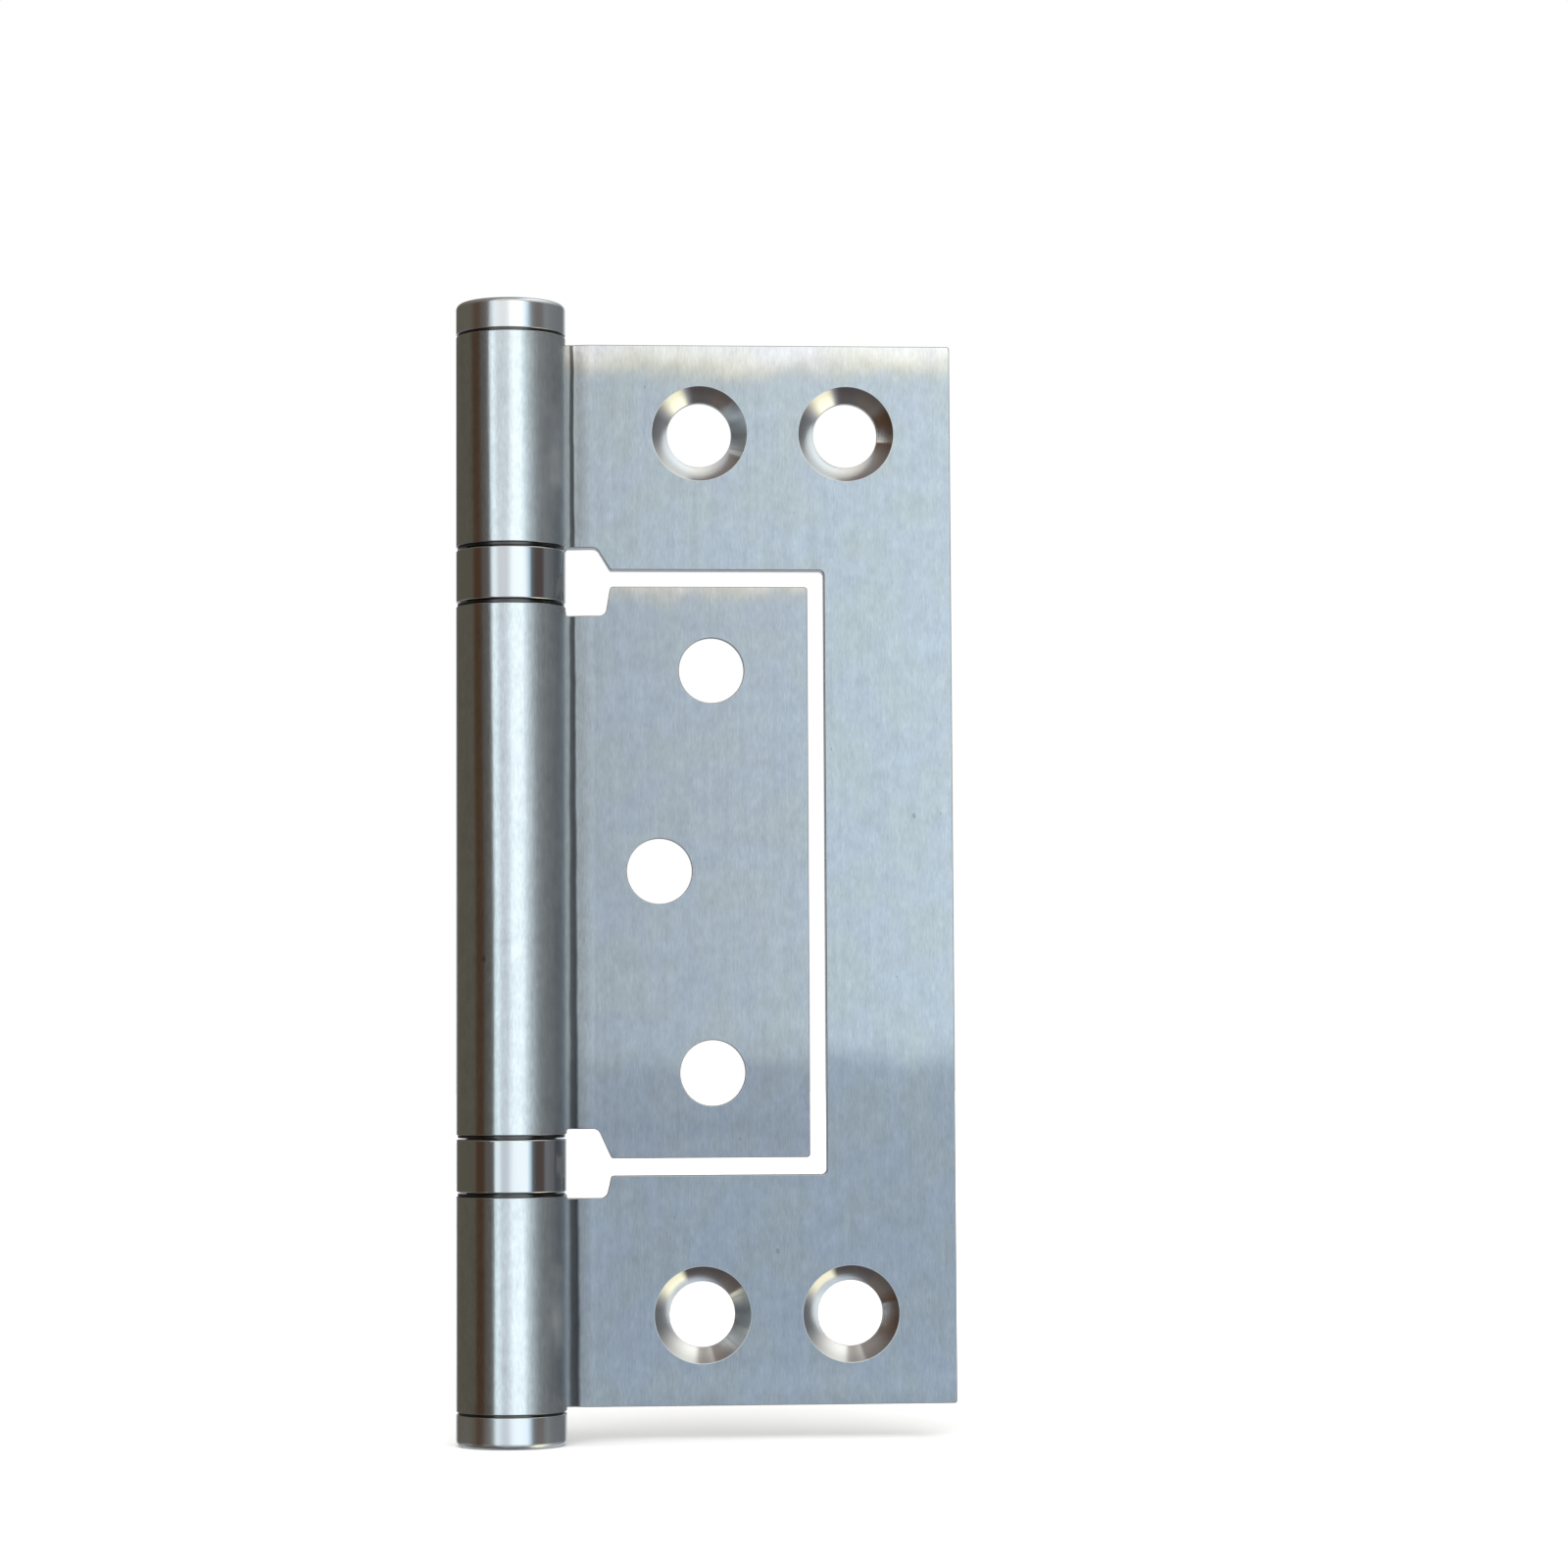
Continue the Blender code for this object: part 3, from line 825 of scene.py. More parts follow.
class FlatBlank:
    """The leaf's sheet before it is rolled: cut out, countersunk, with broken edges.

    The blank lies with x across the hinge, y from its front face to its back face, and
    z up. The part that will go round the pin is at negative x.
    """

    edge_radius = 0.00010
    edge_steps = 3
    fillet_steps = 8
    roll_steps = 116
    swage_steps = 12
    reach = 0.001

    def __init__(
        self, sizes: HingeSizes, outline: list[Corner], knuckles: list[Pair], holes: list[ScrewHole]
    ) -> None:
        """Take the sizes of one leaf.

        Args:
            sizes: The sizes shared by all pieces.
            outline: The corners, as (x, height from the middle, radius).
            knuckles: The lowest and highest height of each knuckle.
            holes: The screw holes.
        """
        self.sizes = sizes
        self.knuckles = knuckles
        self.holes = holes
        curl = [-sizes.curl_length * i / self.roll_steps for i in range(self.roll_steps)]
        run = sizes.swage_far - sizes.swage_near
        swage = [sizes.swage_near + run * i / self.swage_steps for i in range(self.swage_steps + 1)]
        self.stations = sorted(curl + swage)
        self.outline = cut_at(filleted(outline, self.fillet_steps, closed=True), self.stations)
        self.shape = bmesh.new()
        self.cut = self.shape.faces.layers.int.new("cut")
        self.from_axis = self.shape.verts.layers.float.new("from_axis")

    def face(self, verts: Ring, cut: Cut) -> None:
        """Add one face and say how it was cut."""
        self.shape.faces.new(verts)[self.cut] = int(cut)

    def band(self, near: Ring, far: Ring, cut: Cut) -> None:
        """Join two rings of points all round.

        Args:
            near: The first ring.
            far: The second ring, with as many points.
            cut: How the band was cut.
        """
        for i, start in enumerate(near):
            j = (i + 1) % len(near)
            self.face([start, near[j], far[j], far[i]], cut)

    def rim(self) -> tuple[Ring, Ring]:
        """Build the sheared edge all round, rounded at both faces.

        Returns:
            The edge's points on the front face and on the back face.
        """
        radius, sheet = self.edge_radius, self.sizes.sheet
        angles = [math.pi / 2 * i / self.edge_steps for i in range(self.edge_steps + 1)]
        front = [(radius * (1 - math.sin(a)), radius * (1 - math.cos(a))) for a in angles]
        back = [(offset, sheet - depth) for offset, depth in reversed(front)]
        rings = []
        for offset, depth in front + back:
            rings.append([self.shape.verts.new((x, depth, z)) for x, z in inset(self.outline, offset)])
        for near, far in zip(rings, rings[1:]):
            self.band(near, far, Cut.SHEARED)
        return rings[0], rings[-1]

    def bore(self, hole: ScrewHole) -> tuple[Ring, Ring]:
        """Build one screw hole's wall.

        Args:
            hole: The hole.

        Returns:
            The hole's circles on the front face and on the back face.
        """
        rings = []
        section = hole.wall(self.sizes.sheet)
        for radius, depth, _ in section:
            ring = []
            for i in range(hole.steps):
                angle = math.tau * i / hole.steps
                place = (hole.x + radius * math.cos(angle), depth, hole.height + radius * math.sin(angle))
                vert = self.shape.verts.new(place)
                vert[self.from_axis] = radius
                ring.append(vert)
            rings.append(ring)
        for (near, far), (_, _, cut) in zip(zip(rings, rings[1:]), section):
            self.band(near, far, cut)
        return rings[0], rings[-1]

    def knuckle_strips(self, ring: Ring, low: float, high: float) -> bmesh.types.BMEdge:
        """Cover one knuckle's face with strips that bend at the stations.

        Args:
            ring: The outline's points on this face of the sheet.
            low: The knuckle's lowest height.
            high: The knuckle's highest height.

        Returns:
            The edge where the strips meet the plate.
        """
        end, middle = self.stations[-1], (low + high) / 2
        number = {vert: place for place, vert in enumerate(ring)}
        near = [
            (x, z, vert) for (x, z), vert in zip(self.outline, ring)
            if x < end + TOLERANCE and low - self.reach < z < high + self.reach
        ]
        lower = [(x, vert) for x, z, vert in near if z < middle]
        upper = [(x, vert) for x, z, vert in near if z > middle]
        for start, stop in zip([-math.inf] + self.stations, self.stations):
            corners = []
            for side in (lower, upper):
                corners += [v for x, v in side if start - TOLERANCE < x < stop + TOLERANCE]
            self.face(sorted(corners, key=number.__getitem__), Cut.ROLLED)
        meeting = [next(v for x, v in side if abs(x - end) < TOLERANCE) for side in (lower, upper)]
        return self.shape.edges.get(meeting)

    def cover(self, ring: Ring, circles: list[Ring]) -> None:
        """Cover one face of the sheet: strips on the knuckles, and a plate with holes beyond.

        Args:
            ring: The outline's points on this face.
            circles: The screw holes' circles on this face.
        """
        edges = [self.knuckle_strips(ring, low, high) for low, high in self.knuckles]
        limit = self.stations[-1] - TOLERANCE
        corners = list(zip(self.outline, ring))
        for ((x, _), vert), ((next_x, _), next_vert) in zip(corners, corners[1:] + corners[:1]):
            if x > limit and next_x > limit:
                edges.append(self.shape.edges.get((vert, next_vert)))
        for circle in circles:
            edges += [self.shape.edges.get(pair) for pair in zip(circle, circle[1:] + circle[:1])]
        filled = bmesh.ops.triangle_fill(self.shape, use_beauty=True, use_dissolve=False, edges=edges)
        for item in filled["geom"]:
            if isinstance(item, bmesh.types.BMFace):
                item[self.cut] = int(Cut.ROLLED)

    def build(self, name: str) -> bpy.types.Mesh:
        """Make the whole blank.

        Args:
            name: The mesh's name.

        Returns:
            A closed mesh with the UV map "blank" and the attributes "cut" and "from_axis".
        """
        front, back = self.rim()
        walls = [self.bore(hole) for hole in self.holes]
        self.cover(front, [wall[0] for wall in walls])
        self.cover(back, [wall[1] for wall in walls])
        shape = self.shape
        bmesh.ops.recalc_face_normals(shape, faces=shape.faces)
        layer = shape.loops.layers.uv.new("blank")
        for face in shape.faces:
            face.smooth = True
            for loop in face.loops:
                loop[layer].uv = (loop.vert.co.x, loop.vert.co.z)
        open_edges = sum(not edge.is_manifold for edge in shape.edges)
        if open_edges:
            raise ValueError(f"{name}: {open_edges} open edges")
        for vert in shape.verts:
            vert.co.z += self.sizes.middle
        mesh = bpy.data.meshes.new(name)
        shape.to_mesh(mesh)
        shape.free()
        return mesh


class RollingTree:
    """A Geometry Nodes tree that rolls one edge of a flat blank round the pin."""

    finish_inputs = ("Rolled finish", "Sheared finish", "Sunk finish")

    def __init__(self, sizes: HingeSizes) -> None:
        """Build the tree.

        Args:
            sizes: The sizes shared by all pieces.
        """
        self.values = {
            "Bore radius": sizes.bore,
            "Neutral radius": sizes.neutral,
            "Swage depth": sizes.swage_depth,
            "Swage near": sizes.swage_near,
            "Swage far": sizes.swage_far,
        }
        self.tree = bpy.data.node_groups.new("Roll round the pin", "GeometryNodeTree")
        self.identifiers: dict[str, str] = {}
        self._declare()
        self._wire()

    def _declare(self) -> None:
        """Name the tree's inputs and its output."""
        face = self.tree.interface
        face.new_socket(name="Geometry", in_out="INPUT", socket_type="NodeSocketGeometry")
        kinds = dict.fromkeys(self.values, "NodeSocketFloat")
        kinds.update(dict.fromkeys(self.finish_inputs, "NodeSocketMaterial"))
        for name, kind in kinds.items():
            socket = face.new_socket(name=name, in_out="INPUT", socket_type=kind)
            self.identifiers[name] = socket.identifier
        face.new_socket(name="Geometry", in_out="OUTPUT", socket_type="NodeSocketGeometry")

    def _wire(self) -> None:
        """Join the nodes: where each point of the sheet goes, then the finish of each face."""
        wires = Wiring(self.tree)
        given = wires.add("NodeGroupInput").outputs
        x, depth, z = wires.parts(wires.add("GeometryNodeInputPosition").outputs[0])
        rolled = wires.math("MAXIMUM", wires.product(x, -1.0), 0.0)
        turn = wires.math("DIVIDE", rolled, given["Neutral radius"])
        radius = wires.math("ADD", given["Bore radius"], depth)
        fraction = wires.spread(x, (given["Swage near"], 0.0), (given["Swage far"], 1.0))
        drop = wires.product(fraction, given["Swage depth"])
        across = wires.product(radius, wires.math("SINE", turn))
        across = wires.math("SUBTRACT", wires.math("MAXIMUM", x, 0.0), across)
        out = wires.product(radius, wires.math("COSINE", turn))
        place = wires.vector(across, wires.math("SUBTRACT", out, drop), z)
        shape = wires.add("GeometryNodeSetPosition", {"Geometry": given["Geometry"], "Position": place})
        shape = wires.add("GeometryNodeRealizeInstances", {0: shape.outputs[0]})
        cut = wires.add("GeometryNodeInputNamedAttribute", {"Name": "cut"}, data_type="INT").outputs[0]
        for kind, finish in zip(Cut, self.finish_inputs):
            chosen = wires.add(
                "FunctionNodeCompare", {2: cut, 3: int(kind)}, data_type="INT", operation="EQUAL"
            )
            shape = wires.add(
                "GeometryNodeSetMaterial",
                {"Geometry": shape.outputs[0], "Selection": chosen.outputs[0], "Material": given[finish]},
            )
        wires.add("NodeGroupOutput", {0: shape.outputs[0]})

    def roll(self, blank: bpy.types.Mesh, name: str, finishes: tuple[Material, ...]) -> bpy.types.Object:
        """Roll one blank.

        Args:
            blank: The flat blank.
            name: The leaf's name.
            finishes: The finishes of the rolled faces, the sheared edges and the sinks.

        Returns:
            The leaf as a plain mesh piece.
        """
        sheet = linked(blank, name + "_blank")
        roll = sheet.modifiers.new("Roll", "NODES")
        roll.node_group = self.tree
        for label, value in (*self.values.items(), *zip(self.finish_inputs, finishes)):
            roll[self.identifiers[label]] = value
        return smoothed(settled(sheet, name + "_rolled"), name)


@dataclass(frozen=True)
class Leaves:
    """The large leaf with its window and the small leaf that folds into it."""

    sizes: HingeSizes = SIZES
    corner: float = 0.0003
    small_corner: float = 0.0004
    window_corner: float = 0.0006
    curl_corner: float = 0.0002
    relief_width: float = 0.0054
    relief_depth: float = 0.0005
    relief_start: float = 0.0001
    relief_root: float = 0.0003
    knuckle_root: float = 0.0001
    top_taper: float = 0.0016
    bottom_taper: float = 0.0006
    relief_corner: float = 0.0009
    outer_holes_x: Pair = (0.0227, 0.0404)
    outer_holes_height: float = 0.0528
    inner_holes_x: Pair = (0.0240, 0.0177)
    inner_holes_height: float = 0.0241

    def relief(self, window_end: float, relief_end: float, knuckle_end: float, taper: float) -> list[Corner]:
        """Corners of one side of a relief pocket, from the window's edge to the curl's end.

        Args:
            window_end: Height of the window's or the small leaf's edge.
            relief_end: Height of the pocket's end.
            knuckle_end: Height of the knuckle's end face.
            taper: How much narrower the pocket is at its end.

        Returns:
            The corners.
        """
        near = self.sizes.barrel + self.relief_start
        reach = self.sizes.barrel + self.relief_width
        return [
            (reach, window_end, self.small_corner),
            (reach - taper, relief_end, self.relief_corner),
            (near, relief_end, self.relief_root),
            (near, knuckle_end, self.knuckle_root),
            (-self.sizes.curl_length, knuckle_end, self.curl_corner),
        ]

    def outer_half(self, taper: float) -> list[Corner]:
        """Half of the large leaf's outline, from the middle upwards.

        Args:
            taper: How much narrower the relief pocket is at its end.

        Returns:
            The corners.
        """
        sizes = self.sizes
        window_top = sizes.inner_height / 2 + sizes.window_clearance
        start = sizes.end_knuckle_start
        return [
            (sizes.inner_reach + sizes.window_clearance, window_top, self.window_corner),
            *self.relief(window_top, start + self.relief_depth, start, taper),
            (-sizes.curl_length, sizes.leaf_height / 2, self.curl_corner),
            (sizes.outer_reach, sizes.leaf_height / 2, self.corner),
        ]

    def inner_half(self, taper: float) -> list[Corner]:
        """Half of the small leaf's outline, from the middle upwards.

        Args:
            taper: How much narrower the relief is at its end.

        Returns:
            The corners.
        """
        top, end = self.sizes.inner_height / 2, self.sizes.middle_knuckle / 2
        return [
            (self.sizes.inner_reach, top, self.small_corner),
            *self.relief(top, end - self.relief_depth, end, taper),
        ]

    @staticmethod
    def both_halves(lower: list[Corner], upper: list[Corner]) -> list[Corner]:
        """A whole outline from its two halves, each listed away from the middle."""
        return [(x, -z, radius) for x, z, radius in reversed(lower)] + upper

    def build(self, rolling: RollingTree, finishes: dict[str, tuple[Material, ...]]) -> None:
        """Build both leaves and hand them over.

        Args:
            rolling: The tree that rolls the blanks.
            finishes: The finishes of each leaf, by its CAD node.
        """
        sizes = self.sizes
        top, start, end = sizes.leaf_height / 2, sizes.end_knuckle_start, sizes.middle_knuckle / 2
        high, row = self.outer_holes_height, self.inner_holes_height
        side, centre = self.inner_holes_x
        outer = FlatBlank(
            sizes,
            self.both_halves(self.outer_half(self.bottom_taper), self.outer_half(self.top_taper)),
            [(-top, -start), (start, top)],
            [ScrewHole(x, z, Face.FRONT) for x in self.outer_holes_x for z in (-high, high)],
        )
        inner = FlatBlank(
            sizes,
            self.both_halves(self.inner_half(self.top_taper), self.inner_half(self.bottom_taper)),
            [(-end, end)],
            [ScrewHole(x, z, Face.BACK) for x, z in ((side, -row), (centre, 0.0), (side, row))],
        )
        for blank, name, node, body in (
            (outer, "large_leaf", "outer_leaf", "frame_side"),
            (inner, "small_leaf", "inner_leaf", "door_side"),
        ):
            leaf = rolling.roll(blank.build(name), name, finishes[node])
            hand_over(leaf, body, "leaf", node)


def turned(name: str, profile: list[Pair], steps: int, height: float, way: int) -> bpy.types.Mesh:
    """Turn a profile round the pin's axis.

    Args:
        name: The mesh's name.
        profile: (radius, height) points. It is closed on itself unless it starts on the axis.
        steps: How many facets go round.
        height: Where the profile's zero height goes.
        way: 1 for a piece that points up, -1 for one that points down.

    Returns:
        The closed mesh, in the frame.
    """
    shape = bmesh.new()
    angles = [math.tau * i / steps for i in range(steps)]
    rings = []
    for radius, z in profile:
        level = height + way * z
        if radius == 0:
            rings.append([shape.verts.new((0, 0, level))] * steps)
            continue
        rings.append([shape.verts.new((radius * math.cos(a), radius * math.sin(a), level)) for a in angles])
    on_axis = profile[0][0] == 0
    following = rings[1:] if on_axis else rings[1:] + rings[:1]
    for near, far in zip(rings, following):
        for i in range(steps):
            j = (i + 1) % steps
            shape.faces.new(list(dict.fromkeys((near[i], near[j], far[j], far[i]))))
    bmesh.ops.recalc_face_normals(shape, faces=shape.faces)
    mesh = bpy.data.meshes.new(name)
    shape.to_mesh(mesh)
    shape.free()
    return mesh


@dataclass(frozen=True)
class TurnedPieces:
    """The pin, the two caps, the two bearing shells and the four races."""

    sizes: HingeSizes = SIZES
    steps: int = 160
    fillet_steps: int = 7
    cap_edge: float = 0.0007
    seam_edge: float = 0.0001
    stem_length: float = 0.007
    stem_gap: float = 0.00005
    chamfer: float = 0.0005
    pin_gap: float = 0.0001
    shell_wall: float = 0.0005
    shell_edge: float = 0.00018
    lip_reach: float = 0.0006
    race_gap: float = 0.0001
    end_play: float = 0.00005
    face_gap: float = 0.0006
    shoulder: float = 0.00015
    flange: float = 0.0003
    seam_recess: float = 0.00015
    cap_recess: float = 0.0002
    groove_steps: int = 14

    @property
    def shell_bore(self) -> float:
        """Inside radius of a bearing shell."""
        return self.sizes.barrel - self.shell_wall

    @property
    def race_outer(self) -> float:
        """Outside radius of a race."""
        return self.shell_bore - self.race_gap

    @property
    def race_bore(self) -> float:
        """Inside radius of a race."""
        return self.sizes.pin + self.race_gap

    @property
    def pitch(self) -> float:
        """Radius of the circle that the balls roll on."""
        return (self.race_outer + self.race_bore) / 2

    @property
    def groove(self) -> float:
        """Radius of a race's groove."""
        half_width = (self.race_outer - self.race_bore) / 2 - self.shoulder
        return math.hypot(half_width, self.face_gap / 2)

    def cap_profile(self) -> list[Pair]:
        """Section of a cap: a head with a rounded edge over a pressed stem.

        Returns:
            The section, from the axis at the top to the axis at the stem's end.
        """
        barrel, top = self.sizes.barrel, self.sizes.cap_height
        stem = self.sizes.bore - self.stem_gap
        seat = self.pin_gap / 2 - self.sizes.cap_seam
        end = -self.sizes.cap_seam - self.stem_length
        corners = [
            (0.0, top, 0.0),
            (barrel, top, self.cap_edge),
            (barrel, 0.0, self.seam_edge),
            (barrel - self.cap_recess, 0.0, 0.0),
            (barrel - self.cap_recess, seat, 0.0),
            (stem, seat, 0.0),
            (stem, end, self.chamfer),
            (0.0, end, 0.0),
        ]
        return filleted(corners, self.fillet_steps, closed=False)

    def pin_profile(self) -> list[Pair]:
        """Section of the pin, held between the stems of the caps.

        Returns:
            The section, from the axis at the top to the axis at the bottom.
        """
        half = self.sizes.leaf_height / 2 - self.stem_length - self.pin_gap
        upper = [(0.0, half, 0.0), (self.sizes.pin, half, self.chamfer)]
        lower = [(radius, -z, fillet) for radius, z, fillet in reversed(upper)]
        return filleted(upper + lower, self.fillet_steps, closed=False)

    def shell_profile(self) -> list[Pair]:
        """Section of a bearing shell: a thin ring with both edges rolled inwards.

        Returns:
            The closed section.
        """
        half, barrel = self.sizes.shell_height / 2, self.sizes.barrel
        lip, wall = self.shell_bore - self.lip_reach, self.shell_wall
        upper = [(lip, half - wall, 0.0), (lip, half, self.seam_edge), (barrel, half, self.shell_edge)]
        lower = [(radius, -z, fillet) for radius, z, fillet in reversed(upper)]
        inside = [(self.shell_bore, wall - half, 0.0), (self.shell_bore, half - wall, 0.0)]
        return filleted(upper + lower + inside, self.fillet_steps, closed=True)

    def race_profile(self) -> list[Pair]:
        """Section of a grooved race, whose neck passes the shell's lip.

        Returns:
            The closed section.
        """
        top = self.sizes.bearing_space / 2 - self.end_play
        neck = self.shell_bore - self.lip_reach - self.race_gap
        shoulder = self.sizes.shell_height / 2 - self.shell_wall - self.race_gap
        face = self.face_gap / 2
        rise = math.asin(face / self.groove)
        groove = []
        for i in range(self.groove_steps + 1):
            angle = rise + (math.pi - 2 * rise) * i / self.groove_steps
            groove.append((self.pitch + self.groove * math.cos(angle), self.groove * math.sin(angle)))
        # The flange reaches into the seam beside the shell; with the races' near-black finish it stands for
        # the seam's shade.
        rim = self.sizes.barrel - self.seam_recess
        outside = [
            (self.race_bore, top), (rim, top), (rim, top - self.flange), (neck, top - self.flange),
            (neck, shoulder), (self.race_outer, shoulder),
        ]
        return outside + [(self.race_outer, face)] + groove + [(self.race_bore, face)]

    def add(
        self, name: str, profile: list[Pair], height: float, finish: Material, way: int = 1
    ) -> bpy.types.Object:
        """Turn one piece and dress it.

        Args:
            name: The piece's name.
            profile: Its section.
            height: Where the section's zero height goes.
            finish: Its material.
            way: 1 for a piece that points up, -1 for one that points down.

        Returns:
            The finished piece.
        """
        mesh = turned(name, profile, self.steps, height, way)
        mesh.materials.append(finish)
        return smoothed(mesh, name)

    def paint_seam_shade(self, cap: bpy.types.Object, height: float, finish: Material) -> None:
        """Paint shade into the narrow groove under a cap's head, with the near-black race finish.

        Args:
            cap: The cap.
            height: Where its head meets the groove.
            finish: The groove's material, whose dark tint is painted shade.
        """
        cap.data.materials.append(finish)
        for face in cap.data.polygons:
            radius = math.hypot(face.center.x, face.center.y)
            in_groove = self.sizes.bore < radius < self.sizes.barrel - self.seam_edge
            if in_groove and abs(face.center.z - height) < self.sizes.cap_seam:
                face.material_index = 1

    def build(self, steels: dict[str, Material]) -> None:
        """Build every turned piece and hand it over.

        Args:
            steels: The material of each kind of piece.
        """
        sizes = self.sizes
        rod = self.add("pin_rod", self.pin_profile(), sizes.middle, steels["pin"])
        hand_over(rod, "frame_side", "pin_and_caps", "hinge_pin")
        top = sizes.middle + sizes.leaf_height / 2 + sizes.cap_seam
        cap, shell, race = self.cap_profile(), self.shell_profile(), self.race_profile()
        for level, node, height, way in (
            ("upper", "top_cap", top, 1), ("lower", "bottom_cap", sizes.cap_height, -1)
        ):
            piece = self.add(level + "_cap", cap, height, steels["cap"], way)
            # Painted shade in the groove under the cap's head.
            self.paint_seam_shade(piece, height, steels["race"])
            hand_over(piece, "frame_side", "pin_and_caps", node)
        for level, way in (("upper", 1), ("lower", -1)):
            height = sizes.middle + way * sizes.bearing_offset
            ring = self.add(level + "_shell_ring", shell, height, steels["shell"])
            hand_over(ring, "frame_side", "bearing_shell", level + "_bearing_shell")
            end = self.add(level + "_end_grooved_race", race, height, steels["race"], way)
            hand_over(end, "frame_side", "race", level + "_bearing_end_race")
            turning = self.add(level + "_middle_grooved_race", race, height, steels["race"], -way)
            hand_over(turning, "door_side", "race", level + "_bearing_middle_race")


class BallRings:
    """Two full rings of balls, laid out round the pin by a Geometry Nodes tree."""

    clearance = 0.00005
    spacing = 0.0001
    divisions = 4

    def __init__(self, turned_pieces: TurnedPieces) -> None:
        """Take the balls' sizes from the races that they roll in.

        Args:
            turned_pieces: The turned pieces, which know the races' groove.
        """
        self.pitch = turned_pieces.pitch
        self.radius = turned_pieces.groove - self.clearance
        self.count = int(math.pi / math.asin((self.radius + self.spacing / 2) / self.pitch))
        self.identifiers: dict[str, str] = {}
        self.tree = self._tree()

    def _tree(self) -> bpy.types.NodeTree:
        """Build the tree: balls on the points of a circle, realized, with their finish.

        Returns:
            The tree.
        """
        tree = bpy.data.node_groups.new("Ring of balls", "GeometryNodeTree")
        face = tree.interface
        inputs = (
            ("Balls", "NodeSocketInt"), ("Pitch radius", "NodeSocketFloat"),
            ("Ball radius", "NodeSocketFloat"), ("Height", "NodeSocketFloat"),
            ("Finish", "NodeSocketMaterial"),
        )
        for name, kind in inputs:
            self.identifiers[name] = face.new_socket(name=name, in_out="INPUT", socket_type=kind).identifier
        face.new_socket(name="Geometry", in_out="OUTPUT", socket_type="NodeSocketGeometry")
        wires = Wiring(tree)
        given = wires.add("NodeGroupInput").outputs
        sizes = {"Vertices": given["Balls"], "Radius": given["Pitch radius"]}
        circle = wires.add("GeometryNodeMeshCircle", sizes).outputs[0]
        lift = {"Geometry": circle, "Translation": wires.vector(z=given["Height"])}
        lifted = wires.add("GeometryNodeTransform", lift).outputs[0]
        form = {"Radius": given["Ball radius"], "Subdivisions": self.divisions}
        ball = wires.add("GeometryNodeMeshIcoSphere", form).outputs[0]
        smooth = wires.add("GeometryNodeSetShadeSmooth", {"Geometry": ball}).outputs[0]
        placed = {"Points": lifted, "Instance": smooth}
        ring = wires.add("GeometryNodeInstanceOnPoints", placed).outputs[0]
        real = wires.add("GeometryNodeRealizeInstances", {0: ring}).outputs[0]
        dressed = wires.add("GeometryNodeSetMaterial", {"Geometry": real, "Material": given["Finish"]})
        wires.add("NodeGroupOutput", {0: dressed.outputs[0]})
        return tree

    def build(self, sizes: HingeSizes, finish: Material) -> None:
        """Build both rings and hand them over.

        Args:
            sizes: The sizes shared by all pieces.
            finish: The balls' material.
        """
        for level, way in (("upper", 1), ("lower", -1)):
            name = level + "_ring_of_balls"
            holder = linked(bpy.data.meshes.new(name), name + "_points")
            ring = holder.modifiers.new("Ring", "NODES")
            ring.node_group = self.tree
            values = {
                "Balls": self.count, "Pitch radius": self.pitch, "Ball radius": self.radius,
                "Height": sizes.middle + way * sizes.bearing_offset, "Finish": finish,
            }
            for label, value in values.items():
                ring[self.identifiers[label]] = value
            piece = linked(settled(holder, name), name)
            nodes = [f"{level}_ball_{number + 1:02d}" for number in range(self.count)]
            hand_over(piece, level + "_ball_ring", "ball", *nodes)


@dataclass(frozen=True)
class Panel:
    """One upright part of the studio's surroundings, seen only in the metal."""

    start: float
    end: float
    colour: Colour


